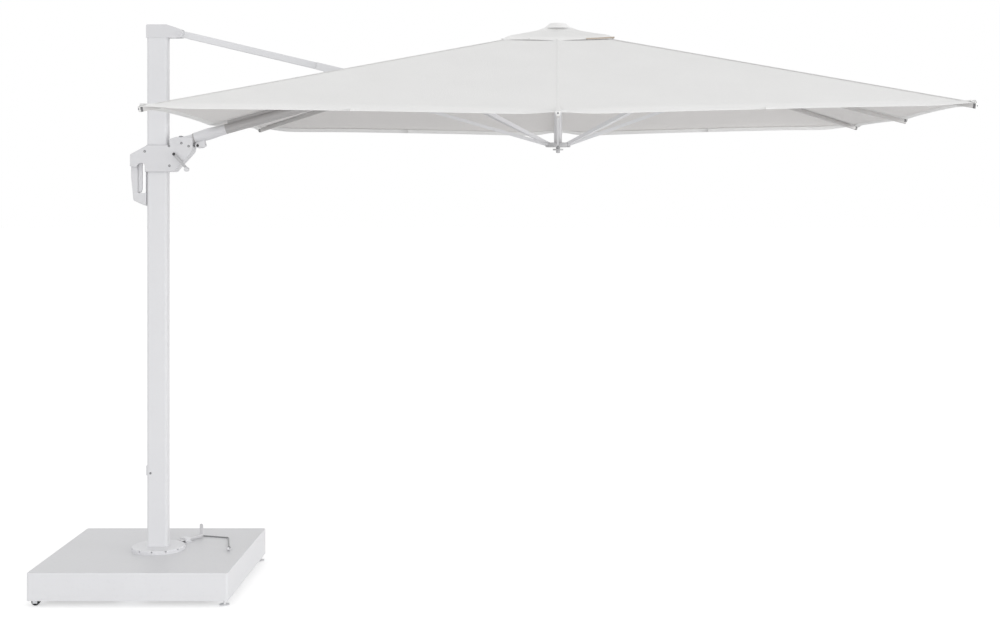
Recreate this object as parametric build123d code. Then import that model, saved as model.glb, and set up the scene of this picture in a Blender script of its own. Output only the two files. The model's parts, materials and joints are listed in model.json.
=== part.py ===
from build123d import *
import os
from math import asin, atan2, cos, degrees, hypot, radians, sin, sqrt, tan

# Cantilever parasol, millimetres. Origin: on the ground under the mast's turning axis.
# +X runs from the mast to the canopy hub, +Y to the rear, +Z up.

# ---------------------------------------------------------------- driving dimensions
RUN = 0.05  # radial clearance of a pin, shaft or tube that turns in its bore
SEAT = 0.3  # gap between faces that slide past each other
SIDE = 0.4  # gap on each side of a tongue, eye or tube in its slot

base_size = 950
base_offset = -26  # the base's centre from the mast axis
cover_bottom = 30
cover_top = 162
cover_sheet = 3
cover_corner = 12
slab_size = 384
slab_height = 50
ledge_width = 60
ledge_height = 40
angle_sheet = 4
cross_width = 60
cross_wall = 3
centre_plate = 240
centre_plate_height = 10

flange_d = 262
flange_height = 8
disc_height = 11.7
index_holes = 12
index_hole_r = 4.2
post_r = 22
post_wall = 5
post_height = 300
flange_bolt_r = 6
flange_bolt_circle = 190
nut_height = 10

foot_d = 50
foot_pad = 5
foot_stem_r = 6
foot_stem = 62
foot_inset_x = 25
foot_inset_y = 45
wheel_d = 38
wheel_width = 28
wheel_inset = 32
wheel_axle_r = 4
bracket_sheet = 3

lock_angle = 60  # direction of the foot-operated lock from the mast axis
lock_reach = 306
lock_width = 30
lock_height = 6
lock_pin_r = 4
lock_travel = 9  # inward, from free to locked
tab_height = 70
tab_width = 21
guide_radius = 190
rod_r = 3
knob_lift = 8
rod_corner = (300, 240)  # plan points of the rod's two bends and its end
rod_turn = (351, 8)
rod_end = (357, -20)
rod_knob_r = 9
rod_knob_length = 26

mast_width = 102
mast_depth = 62
mast_wall = 3.5
mast_corner = 12
mast_top = 2727
stop_z = 534
stop_height = 51
stop_depth = 8

head_x = 110  # upper and lower arm pivots, from the mast axis
head_rise = 22  # upper pivot above the mast's end
slider_drop = 543  # lower pivot below the upper one, with the canopy up
link = 943.8  # head to collar and slider to collar: equal arms
boom_slope = 15.64
tie_slope = 13.3
fold_travel = 60

cap_height = 66
cap_lip = 3
cap_flat = 48  # where the head's top starts to fall, from the mast axis
head_pin_r = 6
tie_height = 34
tie_width = 30
tie_wall = 2.5
tie_corner = 5
tie_eye_r = 16
yoke_reach = 735
yoke_length = 35
fork_cheek = 8
fork_gap = 38  # half the clear width between the fork's cheeks
trunnion_r = 7

boom_r = 25
boom_wall = 3
boom_start = 70
knuckle_eye_r = 20
knuckle_half = 25
boom_pin_r = 8
stem_length = 110
collar_r = 34
collar_length = 36
cradle_r = 30
cradle_ring = 9
cradle_drop = 40
saddle_length = 50
boom_end_gap = 62  # tube's end short of the crown's pivot
tongue_half = 13
tongue_r = 15
tongue_pin_r = 5
grip_length = 168
grip_r = 29.5
rail_width = 14
rail_gap = 62  # from the knee to each part of the rail
latch_x = 82  # tilt latch's boss, from the boom's lower pivot
latch_boss_r = 13

slider_half = 46
slider_wall_gap = 2.5
slider_edge = 6
shell_right = 180
shell_top = 25  # above the lower pivot
shell_shoulder = -16
shell_bottom = -151
shell_bend = -48  # where the right side starts to slope back to the mast
handle_half = 26
handle_left = -132
handle_top = -63
handle_bottom = -320
hole_left = -98
hole_top = -106
hole_bottom = -256
lever_x = -90  # release lever's pivot
lever_rise = -98
lever_width = 18
lever_half = 8
lever_pin_r = 3
bush_width = 24
crank_x = 92
crank_drop = 62  # crank shaft below the lower pivot
crank_shaft_r = 6
crank_arm = 102
crank_arm_angle = 48.4  # below horizontal
drum_r = 15
knob_r = 11
knob_length = 34

hub_x = 2005
pivot_ring = 75
crown_rise = 12.5  # the ribs' pivots above the boom's
crown_r = 92
crown_height = 28
hub_tube_r = 20
runner_drop = 537  # ribs' pivots down to the runner with the canopy up
runner_ring = 47
runner_r = 63
runner_height = 22
closed_drop = 1750  # rib pivots down to the runner with the canopy closed
closed_slope = 79  # ribs below horizontal with the canopy closed

half_x = 1750
half_y = 1300
fabric = 2
apex_rise = 42  # the cloth's apex above the ribs' pivots
scallop = 45
vent_half_x = 230
vent_half_y = 170
vent_cap_x = 276
vent_cap_y = 205
vent_cap_lift = 3  # top of the vent cap above the cloth's apex
vent_cap_height = 68
finial_r = 75
finial_top_r = 40
finial_height = 27
slot_half_x = 110
slot_half_y = 72

rib_width = 12
rib_height = 20
rib_wall = 1.5
rib_eye_r = 9.5
rib_pin_r = 3
rib_inset = 10
strut_width = 8
strut_height = 17
strut_eye_r = 8
strut_drop = 20  # strut pin below the rib's centreline
ear_sheet = 3

outer_fall = 449  # from the cloth's apex down to each tip
outer_corner_fall = 434
side_fall = 473
mast_corner_fall = 448
boom_fall = 479


# ---------------------------------------------------------------- helpers
def box(x, y, z):
    """A box from three (low, high) pairs."""
    centre = [(low + high) / 2 for low, high in (x, y, z)]
    return Pos(*centre) * Box(*[high - low for low, high in (x, y, z)])


def across(sketch, low, high):
    """A sketch drawn in X and Z, extruded along Y from low to high."""
    plane = Plane(origin=(0, high, 0), x_dir=(1, 0, 0), z_dir=(0, -1, 0))
    return extrude(plane * sketch, high - low)


def axle(x, z, radius, low, high):
    """A round bar along Y."""
    return across(Pos(x, z) * Circle(radius), low, high)


def upright(radius, low, high, x=0, y=0):
    """A round bar along Z."""
    return Pos(x, y, low) * Cylinder(radius, high - low, align=(Align.CENTER, Align.CENTER, Align.MIN))


def along(radius, low, high):
    """A round bar along X."""
    return Plane.YZ.offset(low) * extrude(Circle(radius), high - low)


def outline(points):
    """A closed polygon as a face."""
    return make_face(Polyline(*points, close=True))


def rounded(points):
    """A closed polygon as a face, from corners (x, z, radius) that are each rounded by their own radius."""
    face = make_face(Polyline(*[(x, z) for x, z, _ in points], close=True))
    for x, z, radius in points:
        if radius:
            face = fillet(face.vertices().sort_by_distance((x, z))[0], radius)
    return face


def incline(x, z, slope):
    """A frame at (x, 0, z) whose +X points down by slope degrees; its Y stays level."""
    a = radians(slope)
    return Plane(origin=(x, 0, z), x_dir=(cos(a), 0, -sin(a)), z_dir=(sin(a), 0, cos(a))).location


def square_tube(length, width, height, wall, start=0):
    """A rectangular tube along X, open at both ends."""
    outer = box((start, start + length), (-width / 2, width / 2), (-height / 2, height / 2))
    w, h = width / 2 - wall, height / 2 - wall
    return outer - box((start - 1, start + length + 1), (-w, w), (-h, h))


def save(name, shape):
    """One STEP file per sub-part."""
    export_step(shape, f"parts/{name}.step")


def group(shapes):
    """Separate solids that share one node."""
    return Compound(children=[solid for shape in shapes for solid in shape.solids()])


# ---------------------------------------------------------------- derived places
cover_half = base_size / 2
inner_half = cover_half - cover_sheet
frame_half = inner_half - 0.5
ledge_z = cover_bottom + 2
plate_z = cover_top - cover_sheet - centre_plate_height
flange_r = flange_d / 2
disc_z = cover_top + flange_height + SEAT
mast_z = disc_z + disc_height
mast_face = mast_width / 2
mast_side = mast_depth / 2
foot_x = base_offset + cover_half - foot_inset_x
foot_y = cover_half - foot_inset_y
wheel_x = base_offset - cover_half + wheel_inset
wheel_y = foot_y

head_z = mast_top + head_rise
slider_z = head_z - slider_drop
trigger_x = lever_x
trigger_z = slider_z + lever_rise
crank_z = slider_z - crank_drop
knee_x = head_x + sqrt(link**2 - (slider_drop / 2) ** 2)
knee_slope = degrees(asin(slider_drop / 2 / link))
collar_rise = link * sin(radians(knee_slope - boom_slope))
collar_s = link * cos(radians(knee_slope - boom_slope))
tie_knee = (
    link * cos(radians(knee_slope - tie_slope)),
    -link * sin(radians(knee_slope - tie_slope)),
)
boom_pivot_x = hub_x - pivot_ring
boom_pivot_z = slider_z + tan(radians(boom_slope)) * (boom_pivot_x - head_x)
boom_length = (boom_pivot_x - head_x) / cos(radians(boom_slope))
boom = incline(head_x, slider_z, -boom_slope)
tie = incline(head_x, head_z, tie_slope)

rib_pivot_z = boom_pivot_z + crown_rise
runner_z = rib_pivot_z - runner_drop
apex_z = rib_pivot_z + apex_rise
vent_cap_top_z = apex_z + vent_cap_lift
vent_cap_edge_z = vent_cap_top_z - vent_cap_height

# Canopy tips: rib name, azimuth from +X in degrees, height of the fabric at the tip.
corner = degrees(atan2(half_y, half_x))
TIPS = [
    ("outer", 0, apex_z - outer_fall),
    ("outer_rear", corner, apex_z - outer_corner_fall),
    ("rear", 90, apex_z - side_fall),
    ("mast_rear", 180 - corner, apex_z - mast_corner_fall),
    ("boom", 180, apex_z - boom_fall),
    ("mast_front", 180 + corner, apex_z - mast_corner_fall),
    ("front", 270, apex_z - side_fall),
    ("outer_front", 360 - corner, apex_z - outer_corner_fall),
]


def tip_radius(azimuth):
    """Plan distance from the hub to the canopy's edge line along a rib."""
    c, s = abs(cos(radians(azimuth))), abs(sin(radians(azimuth)))
    return min(half_x / max(c, 1e-9), half_y / max(s, 1e-9))


def rib_slope(azimuth, tip_z):
    """Slope of a rib's centreline under the fabric, in degrees."""
    drop = rib_pivot_z - (tip_z - fabric - rib_height / 2 - 2)
    return degrees(atan2(drop, tip_radius(azimuth) - rib_inset - pivot_ring))


def strut_seat(slope, closed, drop, pivot_z):
    """Where a strut joins its rib: (distance along the rib, strut length, strut slope at rest, closed).

    Rib and strut share one joint, drop below the rib's centreline. The distance is the one at which
    the strut's foot meets the runner's ring both with the canopy open and with it closed.
    """
    open_drop = pivot_z - runner_z
    shut_drop = closed_drop - (rib_pivot_z - pivot_z)

    def joint(s, angle):
        a = radians(angle)
        return pivot_ring + s * cos(a) - drop * sin(a), -s * sin(a) - drop * cos(a)

    low, high = shut_drop * 0.3, shut_drop * 0.7
    for _ in range(60):
        s = (low + high) / 2
        x, z = joint(s, slope)
        length = hypot(x - runner_ring, z + open_drop)
        x_shut, z_shut = joint(s, closed)
        reach = sqrt(max(length**2 - (x_shut - runner_ring) ** 2, 0)) - z_shut
        low, high = (s, high) if reach < shut_drop else (low, s)
    rest = degrees(atan2(z + open_drop, x - runner_ring))
    shut = degrees(atan2(z_shut + shut_drop, x_shut - runner_ring))
    return s, length, rest, shut


# ---------------------------------------------------------------- base
def base_cover():
    """Sheet-steel box over the frame and ballast, open below, with holes for the post and bolts."""
    outer = box((-cover_half, cover_half), (-cover_half, cover_half), (cover_bottom, cover_top))
    outer = fillet(outer.edges().filter_by(Axis.Z), cover_corner)
    outer = fillet(outer.faces().sort_by(Axis.Z)[-1].edges(), 2.5)
    inner = box(
        (-inner_half, inner_half), (-inner_half, inner_half), (cover_bottom - 1, cover_top - cover_sheet)
    )
    inner = fillet(inner.edges().filter_by(Axis.Z), cover_corner - cover_sheet)
    shell = Pos(base_offset, 0, 0) * (outer - inner) - upright(post_r + 0.1, cover_bottom, cover_top + 1)
    for x, y in bolt_places():
        shell -= upright(flange_bolt_r + 0.2, cover_bottom, cover_top + 1, x, y)
    return shell


def bolt_places():
    """Centres of the four flange bolts."""
    r = flange_bolt_circle / 2
    return [(r * cos(radians(a)), r * sin(radians(a))) for a in (45, 135, 225, 315)]


def base_frame():
    """Welded tray: a rim of angle steel, a cross of box section, the centre plate and the foot bosses."""
    rim_top = ledge_z + ledge_height
    outer = box((-frame_half, frame_half), (-frame_half, frame_half), (ledge_z, rim_top))
    inner = frame_half - angle_sheet
    outer = fillet(outer.edges().filter_by(Axis.Z), cover_corner - cover_sheet)
    outer -= box((-inner, inner), (-inner, inner), (ledge_z + angle_sheet, rim_top + 1))
    ledge = frame_half - ledge_width
    outer -= box((-ledge, ledge), (-ledge, ledge), (ledge_z - 1, rim_top + 1))
    w = cross_width / 2
    cross = box((-inner, inner), (-w, w), (ledge_z, plate_z))
    cross += box((-w, w), (-inner, inner), (ledge_z, plate_z))
    c = w - cross_wall
    low, high = ledge_z + cross_wall, plate_z - cross_wall
    reach = inner + 1
    cross -= box((-reach, reach), (-c, c), (low, high)) + box((-c, c), (-reach, reach), (low, high))
    flat = box((-inner, inner), (-cross_width, cross_width), (ledge_z, ledge_z + angle_sheet))
    flat += box((-cross_width, cross_width), (-inner, inner), (ledge_z, ledge_z + angle_sheet))
    frame = Pos(base_offset, 0, 0) * (outer + cross + flat)
    p = centre_plate / 2
    frame += box((-p, p), (-p, p), (plate_z, plate_z + centre_plate_height))
    boss_top = ledge_z + angle_sheet + 22
    hole_x = (wheel_x - wheel_d / 2 - 4, wheel_x + wheel_d / 2 + 4)
    hole = wheel_width / 2 + 5
    for y in (-foot_y, foot_y):
        frame += upright(2 * foot_stem_r, ledge_z, boss_top, foot_x, y)
        frame -= upright(foot_stem_r + RUN, ledge_z - 1, boss_top + 1, foot_x, y)
        frame -= box(hole_x, (y - hole, y + hole), (ledge_z - 1, rim_top - 12))
    for x, y in bolt_places():
        frame -= upright(flange_bolt_r + RUN, plate_z - 1, plate_z + centre_plate_height + 1, x, y)
    return frame


def ballast_slabs():
    """Eight square slabs, two deep in each quarter of the tray."""
    near = cross_width / 2 + 2
    bottom = ledge_z + angle_sheet
    slabs = []
    for layer in range(2):
        z = bottom + layer * slab_height
        for sx in (-1, 1):
            for sy in (-1, 1):
                x = sorted((base_offset + sx * near, base_offset + sx * (near + slab_size)))
                y = sorted((sy * near, sy * (near + slab_size)))
                slabs.append(box(x, y, (z, z + slab_height)))
    return group(slabs)


def base_flange():
    """Fixed ring bolted through the cover; the mast's disc turns on it."""
    ring = upright(flange_r, cover_top, cover_top + flange_height)
    ring -= upright(post_r + 0.1, cover_top - 1, disc_z)
    head = flange_bolt_r * 1.8
    for x, y in bolt_places():
        ring -= upright(flange_bolt_r + 0.1, cover_top - 1, disc_z, x, y)
        ring -= upright(head + 0.1, cover_top + flange_height - 4.2, disc_z, x, y)
    return ring


def flange_bolts():
    """Four flat-headed bolts with their nuts under the centre plate."""
    top = cover_top + flange_height
    bolts = []
    for x, y in bolt_places():
        bolt = upright(flange_bolt_r, plate_z - nut_height - 2, top - 4, x, y)
        bolt += upright(flange_bolt_r * 1.8, top - 4.2, top - 0.2, x, y)
        nut = Pos(x, y, plate_z - nut_height) * extrude(RegularPolygon(flange_bolt_r * 1.75, 6), nut_height)
        bolts += [bolt, nut - upright(flange_bolt_r + 0.02, plate_z - nut_height - 1, plate_z + 1, x, y)]
    return group(bolts)


def swivel_post():
    """Tube that stands on the frame inside the mast and carries it."""
    foot = plate_z + centre_plate_height
    post = upright(post_r, foot, foot + post_height)
    return post - upright(post_r - post_wall, foot - 1, foot + post_height + 1)


def wheel_brackets():
    """A pair of cheeks under the frame for each wheel, with the axle between them."""
    pieces = []
    for y in (-wheel_y, wheel_y):
        inner = wheel_width / 2 + 1
        outer = inner + bracket_sheet
        bracket = axle(wheel_x, wheel_d / 2, wheel_axle_r, y - outer - 4, y + outer + 4)
        for side in (-1, 1):
            low, high = sorted((y + side * inner, y + side * outer))
            bracket += box((wheel_x - 11, wheel_x + 11), (low, high), (wheel_d / 2 - 8, ledge_z))
            low, high = sorted((y + side * inner, y + side * (outer + 12)))
            bracket += box((wheel_x - 11, wheel_x + 11), (low, high), (ledge_z - bracket_sheet, ledge_z))
        pieces.append(bracket)
    return group(pieces)


def wheel(y):
    """Small transport wheel with a hub bore and a groove on each side."""
    body = axle(wheel_x, wheel_d / 2, wheel_d / 2, y - wheel_width / 2, y + wheel_width / 2)
    body = chamfer(body.edges(), 2)
    for side in (-1, 1):
        edge = y + side * wheel_width / 2
        low, high = sorted((edge, edge - side * 4))
        groove = axle(wheel_x, wheel_d / 2, wheel_d / 2 - 5, low, high)
        body -= groove - axle(wheel_x, wheel_d / 2, 2 * wheel_axle_r, low, high)
    return body - axle(wheel_x, wheel_d / 2, wheel_axle_r + RUN, y - wheel_width, y + wheel_width)


def levelling_foot(y):
    """Pad on a screw stem."""
    pad = chamfer(upright(foot_d / 2, 0, foot_pad, foot_x, y).edges().sort_by(Axis.Z)[-1], 1.5)
    return pad + upright(foot_stem_r, foot_pad - 1, foot_stem, foot_x, y)


def lock_frame(shape):
    """Turn a shape drawn along +X into the lock's direction."""
    return Rot(0, 0, lock_angle) * shape


lock_z = disc_z + disc_height / 2


def lock_guide():
    """Bracket on the cover that holds the lock plate down and guides it."""
    w = lock_width / 2
    x = (guide_radius - 18, guide_radius + 18)
    top = lock_z + lock_height / 2
    guide = box(x, (-w - 12, w + 12), (cover_top, top + 5))
    guide -= box((x[0] - 1, x[1] + 1), (-w - SIDE, w + SIDE), (cover_top - 1, top + SEAT))
    for side in (-1, 1):
        low, high = sorted((side * (w + 4), side * (w + 13)))
        guide -= box((x[0] - 1, x[1] + 1), (low, high), (cover_top + 5, top + 6))
    return lock_frame(guide)


def lock_plate():
    """Sliding lock, drawn back: a pin for the mast disc's holes, a flat plate and the upright foot tab."""
    w = lock_width / 2
    z = (lock_z - lock_height / 2, lock_z + lock_height / 2)
    start = flange_r + lock_travel + 5
    plate = box((start, lock_reach + 4), (-w, w), z)
    plate = fillet(plate.edges().filter_by(Axis.Z), 4)
    plate += Pos(0, 0, lock_z) * along(lock_pin_r, flange_r + SEAT, start + 1)
    t = tab_width / 2
    tab = box((lock_reach, lock_reach + 4), (-t, t), (cover_top + SEAT, cover_top + tab_height))
    tab = fillet(tab.edges().filter_by(Axis.X).group_by(Axis.Z)[-1], t * 0.9)
    shoe = box((guide_radius + 30, lock_reach), (-6, 6), (cover_top + SEAT, z[0]))
    return lock_frame(plate + tab + shoe)


def release_rod():
    """Bent pull rod from the lock plate's outer end to the front, with its knob."""
    a = radians(lock_angle)
    z = cover_top + SEAT + rod_r
    start, out = [(reach * cos(a), reach * sin(a), z) for reach in (lock_reach + 4, lock_reach + 20)]
    points = [start, out, (*rod_corner, z), (*rod_turn, z), (*rod_end, z + knob_lift)]
    path = FilletPolyline(*points, radius=10)
    rod = sweep(Plane(origin=start, z_dir=Vector(*out) - Vector(*start)) * Circle(rod_r), path=path)
    end = Plane(origin=points[-1], z_dir=Vector(*points[-1]) - Vector(*points[-2]))
    knob = extrude(end.offset(-1) * Circle(rod_knob_r), rod_knob_length)
    return rod + fillet(knob.edges(), 4)


# ---------------------------------------------------------------- mast
def mast_section(inset=0.0):
    """The mast's outer section, or one inside it."""
    return RectangleRounded(mast_width - 2 * inset, mast_depth - 2 * inset, mast_corner - inset)


def mast_foot():
    """Disc that turns on the flange, with radial index holes round its rim."""
    disc = upright(flange_r, disc_z, mast_z) - upright(post_r + RUN, disc_z - 1, mast_z + 1)
    rims = disc.edges().filter_by(GeomType.CIRCLE).group_by(Axis.Z)[-1]
    disc = chamfer(rims.sort_by(SortBy.RADIUS)[-1], 3.5)
    for i in range(index_holes):
        hole = Pos(0, 0, lock_z) * along(index_hole_r, flange_r - 14, flange_r + 1)
        disc -= Rot(0, 0, lock_angle + i * 360 / index_holes) * hole
    return disc


def mast_tube():
    """Extruded aluminium mast."""
    section = mast_section() - mast_section(mast_wall)
    return Pos(0, 0, mast_z) * extrude(section, mast_top - mast_z)


def swivel_bushes():
    """Two bearing blocks inside the mast that turn on the post."""
    post_top = plate_z + centre_plate_height + post_height
    blocks = []
    for z in (mast_z, post_top - 34):
        block = Pos(0, 0, z) * extrude(mast_section(mast_wall + 0.1), 30)
        blocks.append(block - upright(post_r + RUN, z - 1, z + 31))
    return group(blocks)


def lower_stop():
    """Stop block on the mast's back face."""
    block = box((-mast_face - stop_depth, -mast_face), (-12, 12), (stop_z, stop_z + stop_height))
    return fillet(block.edges().filter_by(Axis.Y).sort_by(Axis.X)[:2], 3)


def mast_cap():
    """Moulded head: plug, flat top that falls to a round nose, and the clevis for the tie."""
    left, top = -mast_face - cap_lip, mast_top + cap_height
    half = mast_side + cap_lip
    nose = rounded(
        [
            (left, mast_top, 0),
            (left, top, 7),
            (cap_flat, top, 30),
            (head_x - 4, head_z + head_rise + 3, 12),
            (head_x, head_z, 0),
            (head_x, mast_top, 0),
        ]
    )
    body = across(nose, -half, half) + axle(head_x, head_z, head_rise, -half, half)
    body += Pos(0, 0, mast_top - 35) * extrude(mast_section(mast_wall + 0.1), 36)
    slot = tie_width / 2 + SIDE
    slot_x = (head_x - tie_eye_r - 4, head_x + 2 * head_rise)
    body -= box(slot_x, (-slot, slot), (mast_top - 1, head_z + tie_height / 2 + 2))
    return body - axle(head_x, head_z, head_pin_r + RUN, -half - 1, half + 1)


def head_pin():
    """Pivot pin of the tie in the mast head."""
    half = mast_side + cap_lip
    pin = axle(head_x, head_z, head_pin_r, -half - 1, half + 1)
    for low, high in ((-half - 4, -half - 0.2), (half + 0.2, half + 4)):
        pin += axle(head_x, head_z, head_pin_r + 4, low, high)
    return pin


# ---------------------------------------------------------------- tie (upper arm)
tie_start = 44


def tie_plug(low, high):
    """A plug that fits inside the tie tube."""
    inset = tie_wall + 0.1
    section = RectangleRounded(tie_width - 2 * inset, tie_height - 2 * inset, tie_corner - inset)
    return Plane.YZ.offset(low) * extrude(section, high - low)


def tie_eye():
    """End fitting of the tie: an eye in the mast head and a plug in the tube."""
    w, h = tie_width / 2 - 0.5, tie_eye_r
    eye = axle(0, 0, tie_eye_r, -w, w) + box((0, tie_start), (-w, w), (-h, h))
    eye += tie_plug(tie_start - 1, tie_start + 60)
    return tie * (eye - axle(0, 0, head_pin_r + RUN, -w - 1, w + 1))


def tie_tube():
    """Upper arm: rounded rectangular tube from the mast head to the yoke."""
    length = yoke_reach - yoke_length - tie_start
    outer = RectangleRounded(tie_width, tie_height, tie_corner)
    inner = RectangleRounded(tie_width - 2 * tie_wall, tie_height - 2 * tie_wall, tie_corner - tie_wall)
    section = Plane.YZ.offset(tie_start) * (outer - inner)
    return tie * extrude(section, length)


def tie_fork():
    """Yoke and two cheeks that straddle the boom and hold the collar's trunnions."""
    start = yoke_reach - yoke_length
    h = tie_height / 2
    outer = fork_gap + fork_cheek
    ground = tie_width / 2
    shoulder = start + 12
    yoke_plan = outline(
        [
            (start, -ground),
            (shoulder, -outer),
            (yoke_reach, -outer),
            (yoke_reach, outer),
            (shoulder, outer),
            (start, ground),
        ]
    )
    fork = Pos(0, 0, -h) * extrude(yoke_plan, 2 * h)
    x, z = tie_knee
    eye_r = trunnion_r + 9
    cheek = outline(
        [
            (yoke_reach - 1, -h),
            (yoke_reach - 1, h),
            (x - 70, h),
            (x - 6, z + eye_r - 1),
            (x, z),
            (x - 10, z - eye_r + 3),
        ]
    )
    for low, high in ((-outer, -fork_gap), (fork_gap, outer)):
        fork += across(cheek, low, high) + axle(x, z, eye_r, low, high)
    fork += tie_plug(start - 60, start + 1)
    return tie * (fork - axle(x, z, trunnion_r + RUN, -outer - 1, outer + 1))


# ---------------------------------------------------------------- boom carrier
neck_r = boom_r - boom_wall


def boom_knuckle():
    """Eye on the slider's pivot with the round stem that the boom turns on."""
    eye = axle(0, 0, knuckle_eye_r, -knuckle_half, knuckle_half)
    neck = along(neck_r, 8, boom_start - SEAT)
    stem = along(neck_r - RUN, boom_start - 1, boom_start + stem_length)
    bore = axle(0, 0, boom_pin_r + RUN, -knuckle_half - 1, knuckle_half + 1)
    return boom * (eye + neck + stem - bore)


def tilt_collar():
    """Ring round the boom with the two trunnions that the tie's fork holds."""
    half = collar_length / 2
    ring = along(collar_r, collar_s - half, collar_s + half)
    for side in (-1, 1):
        low, high = sorted((0, side * (fork_gap - 1)))
        ring += axle(collar_s, collar_rise, trunnion_r + 5, low, high)
        low, high = sorted((0, side * (fork_gap + fork_cheek + 3)))
        ring += axle(collar_s, collar_rise, trunnion_r, low, high)
    return boom * (ring - along(boom_r + RUN, collar_s - half - 9, collar_s + half + 9))


# ---------------------------------------------------------------- boom
def boom_tube():
    """Round tube from the knuckle to the crown fitting."""
    end = boom_length - boom_end_gap
    return boom * (along(boom_r, boom_start, end) - along(neck_r, boom_start - 1, end + 1))


def boom_head():
    """Plug in the boom's upper end with the tongue that hinges in the crown."""
    end = boom_length - boom_end_gap
    w, h = tongue_half, tongue_r
    fitting = along(neck_r - 0.1, end - 60, end + 1) + along(boom_r, end, end + 10)
    fitting += box((end + 5, boom_length), (-w, w), (-h, h)) + axle(boom_length, 0, h, -w, w)
    return boom * (fitting - axle(boom_length, 0, tongue_pin_r + RUN, -w - 1, w + 1))


def boom_cradle():
    """Clamp ring on each side of the collar, and the saddle with the ears for the boom's strut."""
    half = collar_length / 2 + SEAT
    end = half + cradle_ring
    s = boom_length - boom_strut[0]
    grip = saddle_length / 2
    parts = []
    for low, high in ((collar_s - end, collar_s - half), (collar_s + half, collar_s + end)):
        parts.append(along(cradle_r, low, high))
    upper_half = box((s - grip, s + grip), (-cradle_r, cradle_r), (-8, cradle_r))
    saddle = along(cradle_r, s - grip, s + grip) - upper_half
    parts.append(saddle + ears(s, -cradle_drop, -boom_r))
    bore = along(boom_r, collar_s - end - 1, s + grip + 1)
    return group([boom * (part - bore) for part in parts])


def boom_rail():
    """Slim rail on the boom that the canopy's mast-side seam lies on, parted where the tie passes."""
    rails = []
    start = head_x + boom_start + grip_length
    for low, high in ((start, knee_x - rail_gap), (knee_x + rail_gap, hub_x - vent_half_x - 12)):
        web = outline([(low, boom_z(low)), (high, boom_z(high)), (high, seam_z(high)), (low, seam_z(low))])
        rails.append(across(web, -rail_width / 2, rail_width / 2) - boom * along(boom_r, 0, boom_length))
    return group(rails)


def boom_z(x):
    """Height of the boom's centreline."""
    return slider_z + tan(radians(boom_slope)) * (x - head_x)


def seam_z(x):
    """Height just under the canopy's mast-side seam."""
    tip_z = dict((name, z) for name, _, z in TIPS)["boom"]
    return apex_z + (tip_z - apex_z) * (hub_x - x) / half_x - fabric - 1


def grip_sleeve():
    """Waisted sleeve that turns the boom for the side tilt, with the latch housing under it."""
    start, end = boom_start + 6, boom_start + grip_length
    profile = [
        (start, boom_r + 0.8),
        (start + 40, boom_r + 3),
        (start + 75, grip_r),
        (start + 110, boom_r + 2.5),
        (end, boom_r + 0.8),
    ]
    face = make_face([Spline(*profile), Polyline(profile[-1], (end, 0), (start, 0), profile[0])])
    body = revolve(Plane.XZ * face, Axis.X)
    block = box((latch_x - 4, latch_x + 38), (-14, 14), (-57, -boom_r))
    body += fillet(block.edges().filter_by(Axis.Y).sort_by(Axis.Z)[:2], 8)
    body += fillet(axle(latch_x, -42, latch_boss_r, -17, 17).edges(), 2)
    body -= along(boom_r, start - 1, end + 1)
    return boom * (body - upright(8 + SIDE, -58, -45, latch_x + 21))


def tilt_button():
    """Push button under the grip that frees the side tilt."""
    x = latch_x + 21
    return boom * fillet(upright(8, -60, -50, x).edges().sort_by(Axis.Z)[0], 2)


# ---------------------------------------------------------------- slider
wall = mast_face + slider_wall_gap  # inner face of the housing beside the mast
shell_z = slider_z + shell_bottom


def housing_outline():
    """Side view of the housing round the mast and the boom's pivot."""
    z = slider_z
    return rounded(
        [
            (-wall - 4, shell_z, 0),
            (crank_x - 5, shell_z, 14),
            (shell_right, z + shell_bend, 40),
            (shell_right, z + shell_top, 16),
            (head_x - 12, z + shell_top, 30),
            (mast_face + 13, z + shell_top - 12, 6),
            (mast_face + 13, z + shell_shoulder, 0),
            (6 - mast_face, z + shell_shoulder, 24),
            (handle_left, z + handle_top, 7),
            (handle_left, z + hole_top - 16, 0),
            (-wall - 4, z + hole_top - 34, 0),
        ]
    )


def handle_outline():
    """Side view of the loop handle below the housing, beside the mast."""
    z = slider_z
    return rounded(
        [
            (handle_left, z + handle_top - 30, 0),
            (handle_left, z + handle_top - 110, 60),
            (handle_left + 12, z + handle_bottom + 27, 12),
            (-wall - 12, z + handle_bottom + 2, 5),
            (-wall, z + handle_bottom, 0),
            (-wall, z + handle_top - 30, 0),
        ]
    )


def finger_hole():
    """The opening of the loop handle, round at its top."""
    low, high = slider_z + hole_bottom, slider_z + hole_top
    right = -wall - 4
    return rounded([(hole_left, low, 8), (right, low, 6), (right, high, 16), (hole_left, high, 20)])


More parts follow.
